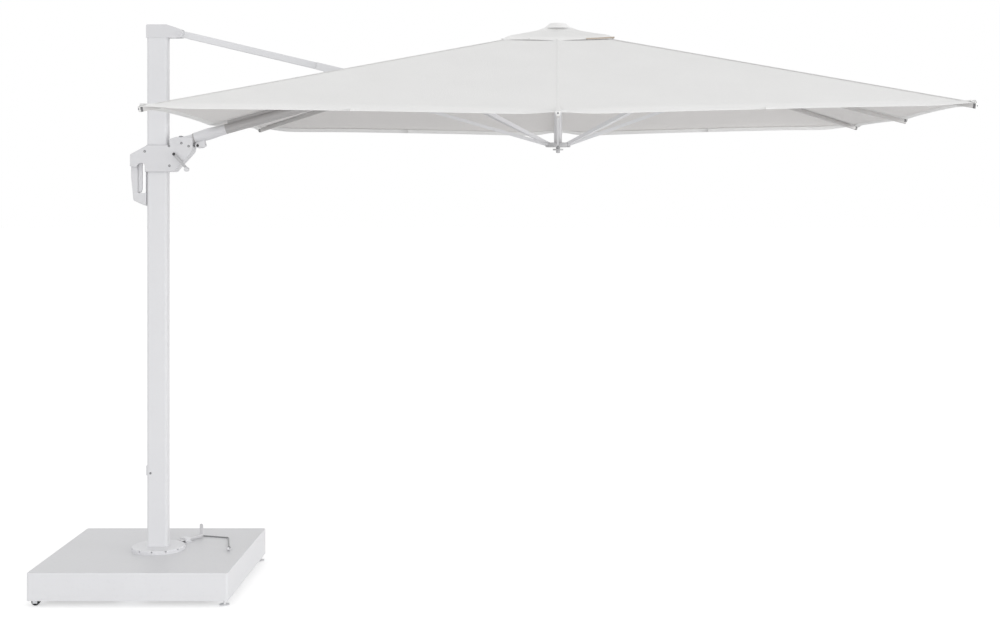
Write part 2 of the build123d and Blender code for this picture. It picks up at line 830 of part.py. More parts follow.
def slider_shell(side):
    """Half of the slider housing: side is -1 for the front half, +1 for the rear half."""
    low, high = sorted((0, side * slider_half))
    body = across(housing_outline(), low, high)
    body = fillet(body.faces().sort_by(Axis.Y)[-1 if side > 0 else 0].edges(), slider_edge)
    h_low, h_high = sorted((0, side * handle_half))
    handle = across(handle_outline(), h_low, h_high)
    body += fillet(handle.faces().sort_by(Axis.Y)[-1 if side > 0 else 0].edges(), slider_edge)
    body -= across(finger_hole(), low - 1, high + 1)
    y = sorted((-side, side * (mast_side + slider_wall_gap)))
    body -= box((-wall, wall), y, (slider_z + handle_bottom - 9, slider_z + shell_top + 9))
    slot = sorted((-side, side * (knuckle_half + SIDE)))
    body -= box((wall - 1, shell_right + 9), slot, (slider_z - knuckle_eye_r - 4, slider_z + shell_top + 9))
    body -= box((wall - 1, crank_x + drum_r + 2), slot, (crank_z - drum_r - 2, slider_z))
    bore_low, bore_high = sorted((0, side * (slider_half + 1)))
    body -= axle(head_x, slider_z, boom_pin_r + RUN, bore_low, bore_high)
    if side < 0:
        body -= axle(crank_x, crank_z, crank_shaft_r + RUN, bore_low, bore_high)
    body -= across(lever_pocket(), *sorted((-side, side * (lever_half + SIDE))))
    return body - axle(trigger_x, trigger_z, lever_pin_r, *sorted((-side, side * 15)))


def lever_pocket():
    """Space behind the release lever that it swings into."""
    x, z, low = trigger_x, trigger_z, slider_z + hole_bottom
    return outline([(x - 25, low), (x + 11, low), (x + 11, z + 11), (x - 11, z + 11)])


def slide_bushes():
    """Two glide rings between the housing and the mast."""
    play = 2 * (slider_wall_gap - 0.1)
    section = RectangleRounded(mast_width + play, mast_depth + play, mast_corner / 2) - mast_section(-SEAT)
    places = (shell_z + 5, slider_z + shell_shoulder - bush_width)
    return group([Pos(0, 0, z) * extrude(section, bush_width) for z in places])


def boom_pin():
    """Pivot pin of the boom in the slider."""
    pin = axle(head_x, slider_z, boom_pin_r, -slider_half - 1, slider_half + 1)
    for low, high in ((-slider_half - 4, -slider_half - 0.1), (slider_half + 0.1, slider_half + 4)):
        pin += fillet(axle(head_x, slider_z, boom_pin_r + 4, low, high).edges(), 1)
    return pin


def release_trigger():
    """Squeeze lever that runs down the finger hole, hung on its pin above the hole."""
    x, z, low = trigger_x, trigger_z, slider_z + hole_bottom + 4
    left = x - lever_width / 2
    right = x + lever_width / 2
    side_view = [
        (left, low),
        (right - 5, low),
        (right, low + 14),
        (right, z - 4),
        (x + 5, z + 8),
        (x - 5, z + 8),
        (left, z),
    ]
    lever = across(outline(side_view), -lever_half, lever_half)
    return lever - axle(x, z, lever_pin_r + RUN, -lever_half - 1, lever_half + 1)


def trigger_pin():
    """Pin that the trigger swings on."""
    return axle(trigger_x, trigger_z, lever_pin_r, -15, 15)


def crank_handle():
    """Winding drum, shaft and arm of the crank."""
    a = radians(crank_arm_angle)
    end = (crank_x + crank_arm * cos(a), crank_z - crank_arm * sin(a))
    front = -slider_half
    crank = axle(crank_x, crank_z, drum_r, -20, 20)
    crank += axle(crank_x, crank_z, crank_shaft_r, front - 10, -19)
    plate = make_hull((Pos(crank_x, crank_z) * Circle(8)).edges() + (Pos(*end) * Circle(6)).edges())
    crank += across(plate, front - 16, front - 8)
    return crank + axle(end[0], end[1], 4, front - 10 - knob_length, front - 15)


def crank_knob():
    """Knob that turns on the crank's pin."""
    a = radians(crank_arm_angle)
    x, z = crank_x + crank_arm * cos(a), crank_z - crank_arm * sin(a)
    front = -slider_half - 16 - SEAT
    knob = fillet(axle(x, z, knob_r, front - knob_length + 2, front).edges(), 3)
    return knob - axle(x, z, 4 + RUN, front - knob_length + 5, front + 1)


# ---------------------------------------------------------------- crown and runner
def crown():
    """Upper hub: slotted disc with a pin for each rib, lugs for the boom and the finial's stud."""
    top = rib_pivot_z + crown_height / 2 + 1
    body = upright(crown_r, top - crown_height, top) + upright(10, top - 1, vent_cap_top_z + 17)
    body = fillet(body.edges().filter_by(GeomType.CIRCLE).group_by(Axis.Z)[-2], 3)
    lug = outline(
        [
            (-crown_r + 2, rib_pivot_z - 5),
            (-crown_r + 2, boom_pivot_z - 12),
            (-pivot_ring - 8, boom_pivot_z - 18),
            (-pivot_ring + 8, boom_pivot_z - 18),
            (-pivot_ring + 22, rib_pivot_z - 5),
        ]
    )
    body += across(lug, -22, 22)
    tongue = tongue_half + SIDE
    body -= box((-crown_r - 5, -pivot_ring + 18), (-tongue, tongue), (boom_pivot_z - 40, boom_pivot_z + 17))
    w = rib_width / 2 + SIDE
    for name, azimuth, _ in TIPS:
        if name != "boom":
            slot_z = (top - crown_height - 1, rib_pivot_z + rib_height / 2 + 0.6)
            slot = box((pivot_ring - rib_eye_r - 3, crown_r + 1), (-w, w), slot_z)
            body -= Rot(0, 0, azimuth) * slot
            body += Rot(0, 0, azimuth) * axle(pivot_ring, rib_pivot_z, rib_pin_r, -w - 2, w + 2)
    body += axle(-pivot_ring, boom_pivot_z, tongue_pin_r, -24, 24)
    return Pos(hub_x, 0, 0) * body


def hub_tube():
    """Guide tube between the crown and the runner."""
    top = rib_pivot_z - crown_height / 2 + 1
    bottom = runner_z + runner_height / 2 + SEAT
    tube = upright(hub_tube_r, bottom, top) - upright(hub_tube_r - 2, bottom - 1, top + 1)
    return Pos(hub_x, 0, 0) * tube


def finial():
    """Cone that holds the vent cap down on the crown's stud."""
    z = vent_cap_top_z
    lean = degrees(atan2(finial_r - finial_top_r, finial_height))
    cone = Pos(hub_x, 0, z) * extrude(Circle(finial_r), finial_height, taper=lean)
    cone = fillet(cone.edges().filter_by(GeomType.CIRCLE).sort_by(Axis.Z)[-1], 5)
    return cone - upright(10.1, z - 1, z + 18, hub_x)


def runner():
    """Lower hub: slotted disc for the struts' feet, with the end plate and knob below."""
    top = runner_z + runner_height / 2
    bottom = top - runner_height
    body = fillet(upright(runner_r, bottom, top).edges(), 2)
    body += upright(10, bottom - 14, bottom + 1) + upright(26, bottom - 16, bottom - 9)
    knob = upright(10, bottom - 30, bottom - 15)
    body += fillet(knob.edges().sort_by(Axis.Z)[0], 4)
    w = strut_width / 2 + SIDE
    for _, azimuth, _ in TIPS:
        slot = box((runner_ring - strut_eye_r - 1, runner_r + 1), (-w, w), (bottom - 1, top + 1))
        body -= Rot(0, 0, azimuth) * slot
    return Pos(hub_x, 0, 0) * body


# ---------------------------------------------------------------- ribs and struts
def ears(s, z, top):
    """Two ears with a pin for a strut's eye, centred at distance s and height z."""
    inner = strut_width / 2 + SIDE
    outer = inner + ear_sheet
    pair = axle(s, z, rib_pin_r, -outer - 1, outer + 1)
    for low, high in ((-outer, -inner), (inner, outer)):
        pair += axle(s, z, strut_eye_r, low, high)
        pair += box((s - strut_eye_r, s + strut_eye_r), (low, high), (z, top))
    return pair


def rib(azimuth, tip_z):
    """Canopy rib: eye in the crown, tube under the fabric, ears for its strut and the tip plug."""
    slope = rib_slope(azimuth, tip_z)
    length = (tip_radius(azimuth) - rib_inset - pivot_ring) / cos(radians(slope))
    s = strut_seat(slope, closed_slope, strut_drop, rib_pivot_z)[0]
    w, h = rib_width / 2, rib_height / 2
    tube = square_tube(length - 30, rib_width, rib_height, rib_wall, 30)
    tube += axle(0, 0, rib_eye_r, -w, w) + box((0, 31), (-w, w), (-rib_eye_r, rib_eye_r))
    tube -= axle(0, 0, rib_pin_r + RUN, -w - 1, w + 1)
    tube += ears(s, -strut_drop, -h + 1)
    inner_w, inner_h = w - rib_wall - 0.1, h - rib_wall - 0.1
    plug = box((length - 20, length + 4), (-inner_w, inner_w), (-inner_h, inner_h))
    plug += box((length + 0.01, length + 6), (-w, w), (-h, h))
    place = Pos(hub_x, 0, 0) * Rot(0, 0, azimuth) * incline(pivot_ring, rib_pivot_z, slope)
    return group([place * tube, place * plug])


def strut(azimuth, seat, drop, pivot_z, slope):
    """Bar from the runner's ring up to a rib's ears."""
    s, length, rest, _ = seat
    a = radians(slope)
    x = pivot_ring + s * cos(a) - drop * sin(a)
    z = pivot_z - s * sin(a) - drop * cos(a)
    w, h = strut_width / 2, strut_height / 2
    bar = box((6, length - 6), (-w, w), (-h, h))
    bar += axle(0, 0, strut_eye_r, -w, w) + axle(length, 0, strut_eye_r, -w, w)
    for end in (0, length):
        bar -= axle(end, 0, rib_pin_r + RUN, -w - 1, w + 1)
    return Pos(hub_x, 0, 0) * Rot(0, 0, azimuth) * incline(x, z, 180 - rest) * bar


boom_strut = strut_seat(boom_slope, boom_slope + fold_travel, cradle_drop, boom_pivot_z)


# ---------------------------------------------------------------- fabric
def tip_points(grow=1.0):
    """The canopy's eight tips in plan, with their fabric heights."""
    points = []
    for _, azimuth, z in TIPS:
        r = tip_radius(azimuth) * grow
        points.append((r * cos(radians(azimuth)), r * sin(radians(azimuth)), apex_z - (apex_z - z) * grow))
    return points


def canopy():
    """Eight flat panels under the ribs' line, one closed sheet with scalloped hems, vent and tie slot."""
    points = tip_points(1.02)
    floor = min(p[2] for p in points) - 60
    count = len(points)
    faces = [Face(Wire.make_polygon([(x, y, floor) for x, y, _ in points]))]
    for i in range(count):
        p, q = points[i], points[(i + 1) % count]
        faces.append(Face(Wire.make_polygon([(0, 0, apex_z), p, q])))
        faces.append(Face(Wire.make_polygon([p, q, (q[0], q[1], floor), (p[0], p[1], floor)])))
    block = Solid(Shell(faces))
    sheet = block - Pos(0, 0, -fabric) * block
    tips = tip_points()
    arcs = []
    for i in range(count):
        p, q = tips[i], tips[(i + 1) % count]
        middle = ((p[0] + q[0]) / 2, (p[1] + q[1]) / 2)
        inward = scallop * hypot(q[0] - p[0], q[1] - p[1]) / half_x
        size = hypot(*middle)
        normal = (-(q[1] - p[1]), q[0] - p[0])
        scale = inward / hypot(*normal)
        sagitta = (middle[0] + normal[0] * scale, middle[1] + normal[1] * scale)
        if hypot(*sagitta) > size:
            sagitta = (middle[0] - normal[0] * scale, middle[1] - normal[1] * scale)
        arcs.append(ThreePointArc(p[:2], sagitta, q[:2]))
    hem = make_face(arcs)
    sheet = sheet & Pos(0, 0, floor) * extrude(hem, apex_z - floor + 10)
    sheet -= box((-vent_half_x, vent_half_x), (-vent_half_y, vent_half_y), (floor, apex_z + 10))
    x = knee_x - hub_x
    sheet -= box((x - slot_half_x, x + slot_half_x), (-slot_half_y, slot_half_y), (floor, apex_z))
    return Pos(hub_x, 0, 0) * sheet


def vent_cap():
    """Small raised roof over the vent, held by the finial."""
    top_y = finial_r * vent_cap_y / vent_cap_x
    low = Pos(0, 0, vent_cap_edge_z - 1) * Rectangle(2 * vent_cap_x, 2 * vent_cap_y)
    high = Pos(0, 0, vent_cap_top_z) * Rectangle(2 * finial_r, 2 * top_y)
    block = loft([low, high])
    sheet = block - Pos(0, 0, -fabric) * block
    return Pos(hub_x, 0, 0) * (sheet - upright(10.5, vent_cap_edge_z, vent_cap_top_z + 1))


# ---------------------------------------------------------------- write the sub-parts
def main():
    os.makedirs("parts", exist_ok=True)
    save("base_cover", base_cover())
    save("base_frame", base_frame())
    save("ballast_slabs", ballast_slabs())
    save("base_flange", base_flange())
    save("flange_bolts", flange_bolts())
    save("swivel_post", swivel_post())
    save("wheel_brackets", wheel_brackets())
    for name, side in (("front", -1), ("rear", 1)):
        save(f"wheel_{name}", wheel(side * wheel_y))
        save(f"levelling_foot_{name}", levelling_foot(side * foot_y))
        save(f"slider_shell_{name}", slider_shell(side))
    save("lock_guide", lock_guide())
    save("lock_plate", lock_plate())
    save("release_rod", release_rod())

    save("mast_foot", mast_foot())
    save("mast_tube", mast_tube())
    save("swivel_bushes", swivel_bushes())
    save("lower_stop", lower_stop())
    save("mast_cap", mast_cap())
    save("head_pin", head_pin())

    save("tie_eye", tie_eye())
    save("tie_tube", tie_tube())
    save("tie_fork", tie_fork())
    save("boom_knuckle", boom_knuckle())
    save("tilt_collar", tilt_collar())

    save("boom_tube", boom_tube())
    save("boom_head", boom_head())
    save("boom_cradle", boom_cradle())
    save("boom_rail", boom_rail())
    save("grip_sleeve", grip_sleeve())
    save("tilt_button", tilt_button())

    save("slide_bushes", slide_bushes())
    save("boom_pin", boom_pin())
    save("release_trigger", release_trigger())
    save("trigger_pin", trigger_pin())
    save("crank_handle", crank_handle())
    save("crank_knob", crank_knob())

    save("crown", crown())
    save("hub_tube", hub_tube())
    save("finial", finial())
    save("runner", runner())
    save("canopy", canopy())
    save("vent_cap", vent_cap())
    save("strut_boom", strut(180, boom_strut, cradle_drop, boom_pivot_z, boom_slope))
    for name, azimuth, tip_z in TIPS:
        if name != "boom":
            slope = rib_slope(azimuth, tip_z)
            seat = strut_seat(slope, closed_slope, strut_drop, rib_pivot_z)
            save(f"rib_{name}", rib(azimuth, tip_z))
            save(f"strut_{name}", strut(azimuth, seat, strut_drop, rib_pivot_z, slope))


main()
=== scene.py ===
"""Dresses the cantilever parasol: canopy cloth, seams, hems, fasteners, finishes and a plain studio."""

import json
from math import atan2, cos, pi, sin

import bpy
import numpy as np
from bpy.props import FloatProperty, FloatVectorProperty, IntProperty, PointerProperty
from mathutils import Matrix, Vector


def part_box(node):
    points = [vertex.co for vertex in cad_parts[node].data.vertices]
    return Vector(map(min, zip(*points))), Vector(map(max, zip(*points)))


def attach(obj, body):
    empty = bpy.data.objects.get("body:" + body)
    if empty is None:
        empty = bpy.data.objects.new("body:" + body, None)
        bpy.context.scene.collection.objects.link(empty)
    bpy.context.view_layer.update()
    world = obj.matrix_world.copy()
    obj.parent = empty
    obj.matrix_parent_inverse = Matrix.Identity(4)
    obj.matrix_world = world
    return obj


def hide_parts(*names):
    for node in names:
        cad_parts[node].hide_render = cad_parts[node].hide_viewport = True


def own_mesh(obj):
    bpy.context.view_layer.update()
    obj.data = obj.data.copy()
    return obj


bl_info = {
    "name": "Cantilever Parasol",
    "version": (1, 0, 0),
    "blender": (4, 5, 0),
    "location": "View3D > Sidebar > Parasol",
    "description": "Canopy cloth, trim, finishes and studio for a side-post garden parasol",
    "category": "Add Mesh",
}

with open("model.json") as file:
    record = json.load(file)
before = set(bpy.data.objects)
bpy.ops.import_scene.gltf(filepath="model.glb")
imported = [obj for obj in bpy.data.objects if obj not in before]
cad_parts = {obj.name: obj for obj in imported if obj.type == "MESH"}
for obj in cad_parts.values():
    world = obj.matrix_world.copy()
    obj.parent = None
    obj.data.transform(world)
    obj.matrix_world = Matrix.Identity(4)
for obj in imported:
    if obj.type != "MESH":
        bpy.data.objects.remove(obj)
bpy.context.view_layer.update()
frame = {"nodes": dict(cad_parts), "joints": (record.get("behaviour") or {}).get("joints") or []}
NODES = frame["nodes"]
JOINTS = {joint["name"]: joint for joint in frame["joints"]}
RIBS = ("outer", "outer_rear", "rear", "mast_rear", "boom", "mast_front", "front", "outer_front")


# ---------------------------------------------------------------- places read from the frame
def vertices(node):
    """All vertices of a CAD node as an array of points."""
    mesh = NODES[node].data
    points = np.empty(len(mesh.vertices) * 3, np.float32)
    mesh.vertices.foreach_get("co", points)
    return points.reshape(-1, 3).astype(float)


def middle(node):
    """Centre of a CAD node's box."""
    low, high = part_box(node)
    return np.array(low + high) / 2


HUB = middle("hub_tube")[:2]
CANOPY_LOW, CANOPY_HIGH = (np.array(corner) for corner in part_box("canopy"))
HALF = (CANOPY_HIGH - CANOPY_LOW)[:2] / 2
APEX_Z = JOINTS["fold"]["deforming_nodes"][0]["fixed_end_z_m"]
CAP_LOW, CAP_HIGH = (np.array(corner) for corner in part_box("vent_cap"))
CAP_HALF = (CAP_HIGH - CAP_LOW)[:2] / 2
MAST_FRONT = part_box("mast_tube")[0][1]
KNEE = np.array(JOINTS["knee"]["pos_m"])
SLIDER_PIN = np.array(JOINTS["side_tilt"]["pos_m"])
BOOM_SLOPE = atan2(JOINTS["side_tilt"]["axis"][2], JOINTS["side_tilt"]["axis"][0])
# Direction of each rib from the hub, in radians, in the order of RIBS.
CORNER = atan2(HALF[1], HALF[0])
AZIMUTH = np.array([0, CORNER, pi / 2, pi - CORNER, pi, pi + CORNER, 1.5 * pi, 2 * pi - CORNER])


def ray_of(rib):
    """Direction of a rib in plan, away from the hub."""
    a = AZIMUTH[RIBS.index(rib)]
    return np.array([cos(a), sin(a)])


def across_of(rib):
    """Level direction square to a rib."""
    a = AZIMUTH[RIBS.index(rib)]
    return np.array([-sin(a), cos(a), 0.0])


def panel_beside(rib, side):
    """The panel on a rib's side (-1 or 1); panel i lies between the tips i and i + 1."""
    i = RIBS.index(rib)
    return i if side > 0 else (i - 1) % 8


def tips():
    """The canopy's eight tips: where each rib's direction meets the edge line, at the cloth's top height."""
    cloth = vertices("canopy")
    reach = 1 / np.maximum(np.abs(np.cos(AZIMUTH)) / HALF[0], np.abs(np.sin(AZIMUTH)) / HALF[1])
    plan = HUB + reach[:, None] * np.stack([np.cos(AZIMUTH), np.sin(AZIMUTH)], 1)
    away = np.linalg.norm(cloth[None, :, :2] - plan[:, None], axis=2)
    slack = 0.0015
    height = np.where(away < away.min(1)[:, None] + slack, cloth[None, :, 2], -1).max(1)
    return np.column_stack([plan, height])


TIPS = tips()
APEX = np.array([*HUB, APEX_Z])

# ---------------------------------------------------------------- measures of the patterns, in metres
HEM_DROP = 0.05  # width of the strip in which the hem falls
RIB_HOLD = 0.10  # how far from a rib the hem is held up
SHORT_SIDE_HOLD = 0.85  # share of the fall that the two short sides lack
CAP_ROUND = 0.84  # share of the cap's half size at which its edge starts to round off
CAP_CURL_START = 0.55  # share of the cap's half length at which its far edge starts to curl
COLLAR = 0.0145  # rise of the cap round the finial
CAP_HOLE = (0.066, 0.050)  # half size of the cap's hole under the finial
CAP_ROWS, CAP_COLUMNS = 14, 8  # divisions of half a cap gore
CAP_HEM_INSET = 0.006
HEM_CORNER = 0.0012
FLAT_TAPE = (0.0012, 0.0005)  # thickness and corner of seams and webbing
SLOT_COLUMNS = 4  # columns of the boom's gore on each side of its rib that the arm's slot takes
VENT_COLUMNS, VENT_INSET = 6, 0.006  # divisions of half a vent hem, and how far its middle is from the edge
TAPE_DROP = 0.0016  # from a seam down to its webbing
TIP_SETBACK = 0.004  # from the end of a seam to the tip
POCKET_RISE = 0.0122  # from a rib's centreline to its pocket
FLAP_DROP = 0.0215
# Sections as (width, thickness, corner)
CAP_HEM = (0.010, 0.0016, 0.0007)
VENT_HEM = (0.014, 0.0028, 0.001)
SLOT_HEM = (0.014, 0.003, 0.0012)
POCKET = (0.028, 0.0030, 0.0013)
FLAP = (0.0215, 0.0026, 0.0011)
SLEEVE = (0.0136, 0.0214, 0.0022)
STRUT_CAP = (0.0086, 0.0186, 0.003)
SHELL_SCREWS = (  # from the slider's pin: away from the mast, and up
    (-0.167, -0.048), (-0.046, -0.021), (0.016, -0.007), (0.052, -0.022), (-0.044, -0.120))


# ---------------------------------------------------------------- sizes and colours a user would change
class CanopySizes(bpy.types.PropertyGroup):
    """Cloth, seams and hems."""

    scallop: FloatProperty(
        name="Hem scallop", description="Inward curve of the hem on a side of half the canopy's length",
        default=0.045, min=0, unit="LENGTH")
    sag: FloatProperty(
        name="Sag", description="How far a panel dips between two ribs", default=0.012, min=0, unit="LENGTH")
    rear_fall: FloatProperty(
        name="Rear fall", description="How much further the rear hem hangs", default=0.014, min=0,
        unit="LENGTH")
    hem_fall: FloatProperty(
        name="Hem fall", description="How far the hem hangs below the line of the ribs", default=0.012, min=0,
        unit="LENGTH")
    cloth: FloatProperty(
        name="Cloth", description="Thickness of the cloth", default=0.0009, min=0.0002, unit="LENGTH")
    hem_width: FloatProperty(
        name="Hem width", description="Width of the turned and stitched hem", default=0.028, unit="LENGTH")
    hem_height: FloatProperty(
        name="Hem thickness", description="Thickness of the turned hem", default=0.0034, unit="LENGTH")
    seam_width: FloatProperty(
        name="Seam width", description="Width of the felled seam over a rib", default=0.014, unit="LENGTH")
    tape_width: FloatProperty(
        name="Tape width", description="Width of the webbing sewn under a seam", default=0.022, unit="LENGTH")
    vent_length: FloatProperty(
        name="Vent half length", description="Half length of the opening under the cap",
        default=0.230, unit="LENGTH")
    vent_width: FloatProperty(
        name="Vent half width", description="Half width of the opening under the cap",
        default=0.170, unit="LENGTH")
    slot_length: FloatProperty(
        name="Slot half length", description="Half length of the slot for the arm",
        default=0.110, unit="LENGTH")
    slot_width: FloatProperty(
        name="Slot half width", description="Half width of the slot for the arm",
        default=0.072, unit="LENGTH")
    pocket: FloatProperty(
        name="Pocket length", description="Length of the pocket that takes a rib's end", default=0.075,
        unit="LENGTH")
    cap_lift: FloatProperty(
        name="Cap lift", description="Height at which the vent cap floats over the main cloth", default=0.015,
        unit="LENGTH")
    cap_curl: FloatProperty(
        name="Cap curl", description="Height by which the cap's outer edge curls up",
        default=0.007, unit="LENGTH")
    cap_gap: FloatProperty(
        name="Cap gap", description="Height of the vent cap's edge over the main cloth", default=-0.0008,
        unit="LENGTH")
    closed_width: FloatProperty(
        name="Closed half width", description="Half width of a gore when the canopy is closed",
        default=0.125, unit="LENGTH")
    rows: IntProperty(name="Rows", description="Divisions of a gore from vent to hem", default=46, min=4)
    columns: IntProperty(name="Columns", description="Divisions of half a gore", default=18, min=2)


class FastenerSizes(bpy.types.PropertyGroup):
    """Screws, plugs and small trim."""

    screw: FloatProperty(
        name="Screw", description="Radius of a housing screw's head", default=0.0045, unit="LENGTH")
    recess: FloatProperty(
        name="Recess", description="Radius of the ring round a screw", default=0.0062, unit="LENGTH")
    plug: FloatProperty(
        name="Plug", description="Radius of the round plug on the slider", default=0.012, unit="LENGTH")
    boss: FloatProperty(
        name="Latch boss", description="Radius of the tilt latch's boss", default=0.012, unit="LENGTH")


class FinishColours(bpy.types.PropertyGroup):
    """Base colours, scene linear."""

    powder: FloatVectorProperty(
        name="Powder coat", description="Coated steel and aluminium", subtype="COLOR",
        default=(0.735, 0.737, 0.755), min=0, max=1)
    moulding: FloatVectorProperty(
        name="Mouldings", description="White plastic mouldings", subtype="COLOR",
        default=(0.690, 0.690, 0.708), min=0, max=1)
    cloth: FloatVectorProperty(
        name="Cloth", description="Woven canopy cloth", subtype="COLOR",
        default=(0.850, 0.848, 0.842), min=0, max=1)
    # painted shade: the cloth's underside is given a greyer, warmer colour than its top
    lining: FloatVectorProperty(
        name="Lining", description="Coated underside of the canopy cloth", subtype="COLOR",
        default=(0.785, 0.768, 0.758), min=0, max=1)
    # painted shade: a brown-grey for the warm shadow line under the vent cap's edge on the outer side
    binding: FloatVectorProperty(
        name="Binding", description="Tape that binds the vent cap's edge", subtype="COLOR",
        default=(0.52, 0.44, 0.36), min=0, max=1)
    # painted shade: the white boom and its rail are given this grey for the shade under the canopy
    boom: FloatVectorProperty(
        name="Boom", description="Grey coat of the boom and its rail", subtype="COLOR",
        default=(0.43, 0.42, 0.42), min=0, max=1)
    thread: FloatVectorProperty(
        name="Thread", description="Sewing thread", subtype="COLOR", default=(0.80, 0.80, 0.79), min=0, max=1)


class StudioSettings(bpy.types.PropertyGroup):
    """Camera, lamps and floor."""

    camera_height: FloatProperty(
        name="Camera height", description="Height of the lens", default=2.0, unit="LENGTH")
    camera_distance: FloatProperty(
        name="Camera distance", description="From the canopy's middle plane", default=7.754, unit="LENGTH")
    lens: FloatProperty(name="Lens", description="Focal length on a 36 mm sensor", default=55.62)
    world: FloatProperty(name="Sky", description="Strength of the sky near the horizon", default=0.96)
    zenith: FloatProperty(name="Zenith", description="Overhead share of the sky's strength", default=0.82)
    key: FloatProperty(name="Key", description="Power of the front lamp in watts", default=130)
    side: FloatProperty(name="Side", description="Power of the right-hand lamp in watts", default=180)
    floor: FloatProperty(name="Floor", description="Grey level of the floor", default=0.66)


# ---------------------------------------------------------------- meshes from arrays
def grid_faces(rows, columns, close_rows=False, close_columns=False):
    """Quads of a grid of rows x columns points, wrapped round in either direction."""
    r = np.arange(rows if close_rows else rows - 1)
    c = np.arange(columns if close_columns else columns - 1)
    i, j = (a.ravel() for a in np.meshgrid(r, c, indexing="ij"))
    k, m = (i + 1) % rows, (j + 1) % columns
    return np.stack([i * columns + j, k * columns + j, k * columns + m, i * columns + m], 1)


def make_piece(name, points, faces, smooth=True, uv=None):
    """An object from an array of points and one of quads or a list of polygons; uv has a pair per point."""
    mesh = bpy.data.meshes.new(name)
    points = np.asarray(points, float).reshape(-1, 3)
    loops = np.concatenate([np.asarray(f) for f in faces])
    sizes = np.array([len(f) for f in faces])
    mesh.vertices.add(len(points))
    mesh.vertices.foreach_set("co", points.astype(np.float32).ravel())
    mesh.loops.add(len(loops))
    mesh.loops.foreach_set("vertex_index", loops.astype(np.int32))
    mesh.polygons.add(len(sizes))
    mesh.polygons.foreach_set("loop_start", (np.cumsum(sizes) - sizes).astype(np.int32))
    mesh.update(calc_edges=True)
    if uv is not None:
        layer = mesh.uv_layers.new(name="cloth")
        layer.data.foreach_set("uv", np.asarray(uv, np.float32).reshape(-1, 2)[loops].ravel())
    mesh.validate()
    mesh.polygons.foreach_set("use_smooth", np.full(len(mesh.polygons), smooth))
    obj = bpy.data.objects.new(name, mesh)
    bpy.context.scene.collection.objects.link(obj)
    return obj


def merged(parts):
    """One (points, faces) pair from several, for a piece made of separate shells."""
    points, faces, start = [], [], 0
    for p, f in parts:
        p = np.asarray(p, float).reshape(-1, 3)
        points.append(p)
        faces += [list(np.asarray(face) + start) for face in f]
        start += len(p)
    return np.concatenate(points), faces


def tube(points):
    """A closed shell from rings of points: quads between neighbouring rings, and a cap on each end ring."""
    n, m = points.shape[:2]
    faces = [list(f) for f in grid_faces(n, m, close_columns=True)]
    faces += [list(range(m))[::-1], [(n - 1) * m + j for j in range(m)]]
    return outward(points.reshape(-1, 3), faces)


def swept(profile, path, across, up):
    """Rings of points: (i, j) is path[i] + profile[j, 0] * across[i] + profile[j, 1] * up[i]."""
    across, up = (np.broadcast_to(a, path.shape)[:, None] for a in (across, up))
    return path[:, None] + profile[None, :, :1] * across + profile[None, :, 1:] * up


def carried(profile, path, across, up):
    """A closed profile carried along a path (see swept) and capped at both ends."""
    return tube(swept(profile, path, across, up))


def outward(points, faces):
    """The same shell with its faces turned so that it encloses a positive volume."""
    volume = 0.0
    for f in faces:
        p = points[f]
        volume += float(np.einsum("ij,ij->", np.broadcast_to(p[0], p[1:-1].shape), np.cross(p[1:-1], p[2:])))
    return points, (faces if volume > 0 else [list(f)[::-1] for f in faces])


def turned(profile, centre, axis, segments=24):
    """A profile of (distance along the axis, radius) pairs turned round that axis and closed at its ends.

    Point (i, j) is centre + a[i] * axis + r[i] * (cos t[j] * u + sin t[j] * v), u and v square to the axis.
    """
    axis = np.asarray(axis, float) / np.linalg.norm(axis)
    u = np.cross(axis, [0.0, 1.0, 0.0] if abs(axis[1]) < 0.9 else [1.0, 0.0, 0.0])
    u /= np.linalg.norm(u)
    v = np.cross(axis, u)
    profile = np.asarray(profile, float)
    t = np.arange(segments) * 2 * pi / segments
    ring = np.cos(t)[:, None] * u + np.sin(t)[:, None] * v
    points = np.asarray(centre) + profile[:, :1, None] * axis + profile[:, 1:, None] * ring[None]
    return tube(points)


def rounded_bar(width, height, corner, steps=3):
    """Outline of a bar's section: a rectangle with round corners, centred."""
    corner = min(corner, width / 2 * 0.98, height / 2 * 0.98)
    t = np.linspace(0, pi / 2, steps + 1)
    quarter = np.stack([np.cos(t), np.sin(t)], 1) * corner
    x, y = width / 2 - corner, height / 2 - corner
    swapped = quarter[:, ::-1]
    return np.concatenate([
        quarter + [x, y], swapped * [-1, 1] + [-x, y], -quarter + [-x, -y], swapped * [1, -1] + [x, -y]])


def unit(a):
    """Vectors along the last axis scaled to length 1."""
    a = np.asarray(a, float)
    return a / np.maximum(np.linalg.norm(a, axis=-1, keepdims=True), 1e-12)


def finish_piece(obj, body, surface, replaces=()):
    """Gives a piece its material and the body it rides on, and hides the CAD parts it replaces."""
    obj.data.materials.append(surface)
    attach(obj, body)
    if replaces:
        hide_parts(*replaces)
    return obj


def fitting(name, profile, place, axis, segments, body, finish):
    """A turned piece with its body and finish."""
    piece = make_piece(name, *turned(profile, place, axis, segments))
    return finish_piece(piece, body, material(finish))


def body_of(rib):
    """The body that carries a gore: its rib's, or the boom."""
    return "boom" if rib == "boom" else "rib_" + rib


# ---------------------------------------------------------------- shader node groups
def feed(tree, socket, value):
    """Links an input to a value that is a socket, or writes a number, vector or colour to it."""
    if isinstance(value, bpy.types.NodeSocket):
        tree.links.new(value, socket)
    else:
        socket.default_value = value


def add_node(tree, kind, inputs=None, **settings):
    """A new shader node with its settings, and with its inputs fed."""
    node = tree.nodes.new("ShaderNode" + kind)
    for name, value in settings.items():
        setattr(node, name, value)
    for key, value in (inputs or {}).items():
        feed(tree, node.inputs[key], value)
    return node


def math(tree, operation, *values, clamp=False):
    """A Math node; each value is a number or a socket."""
    return add_node(tree, "Math", dict(enumerate(values)), operation=operation, use_clamp=clamp).outputs[0]


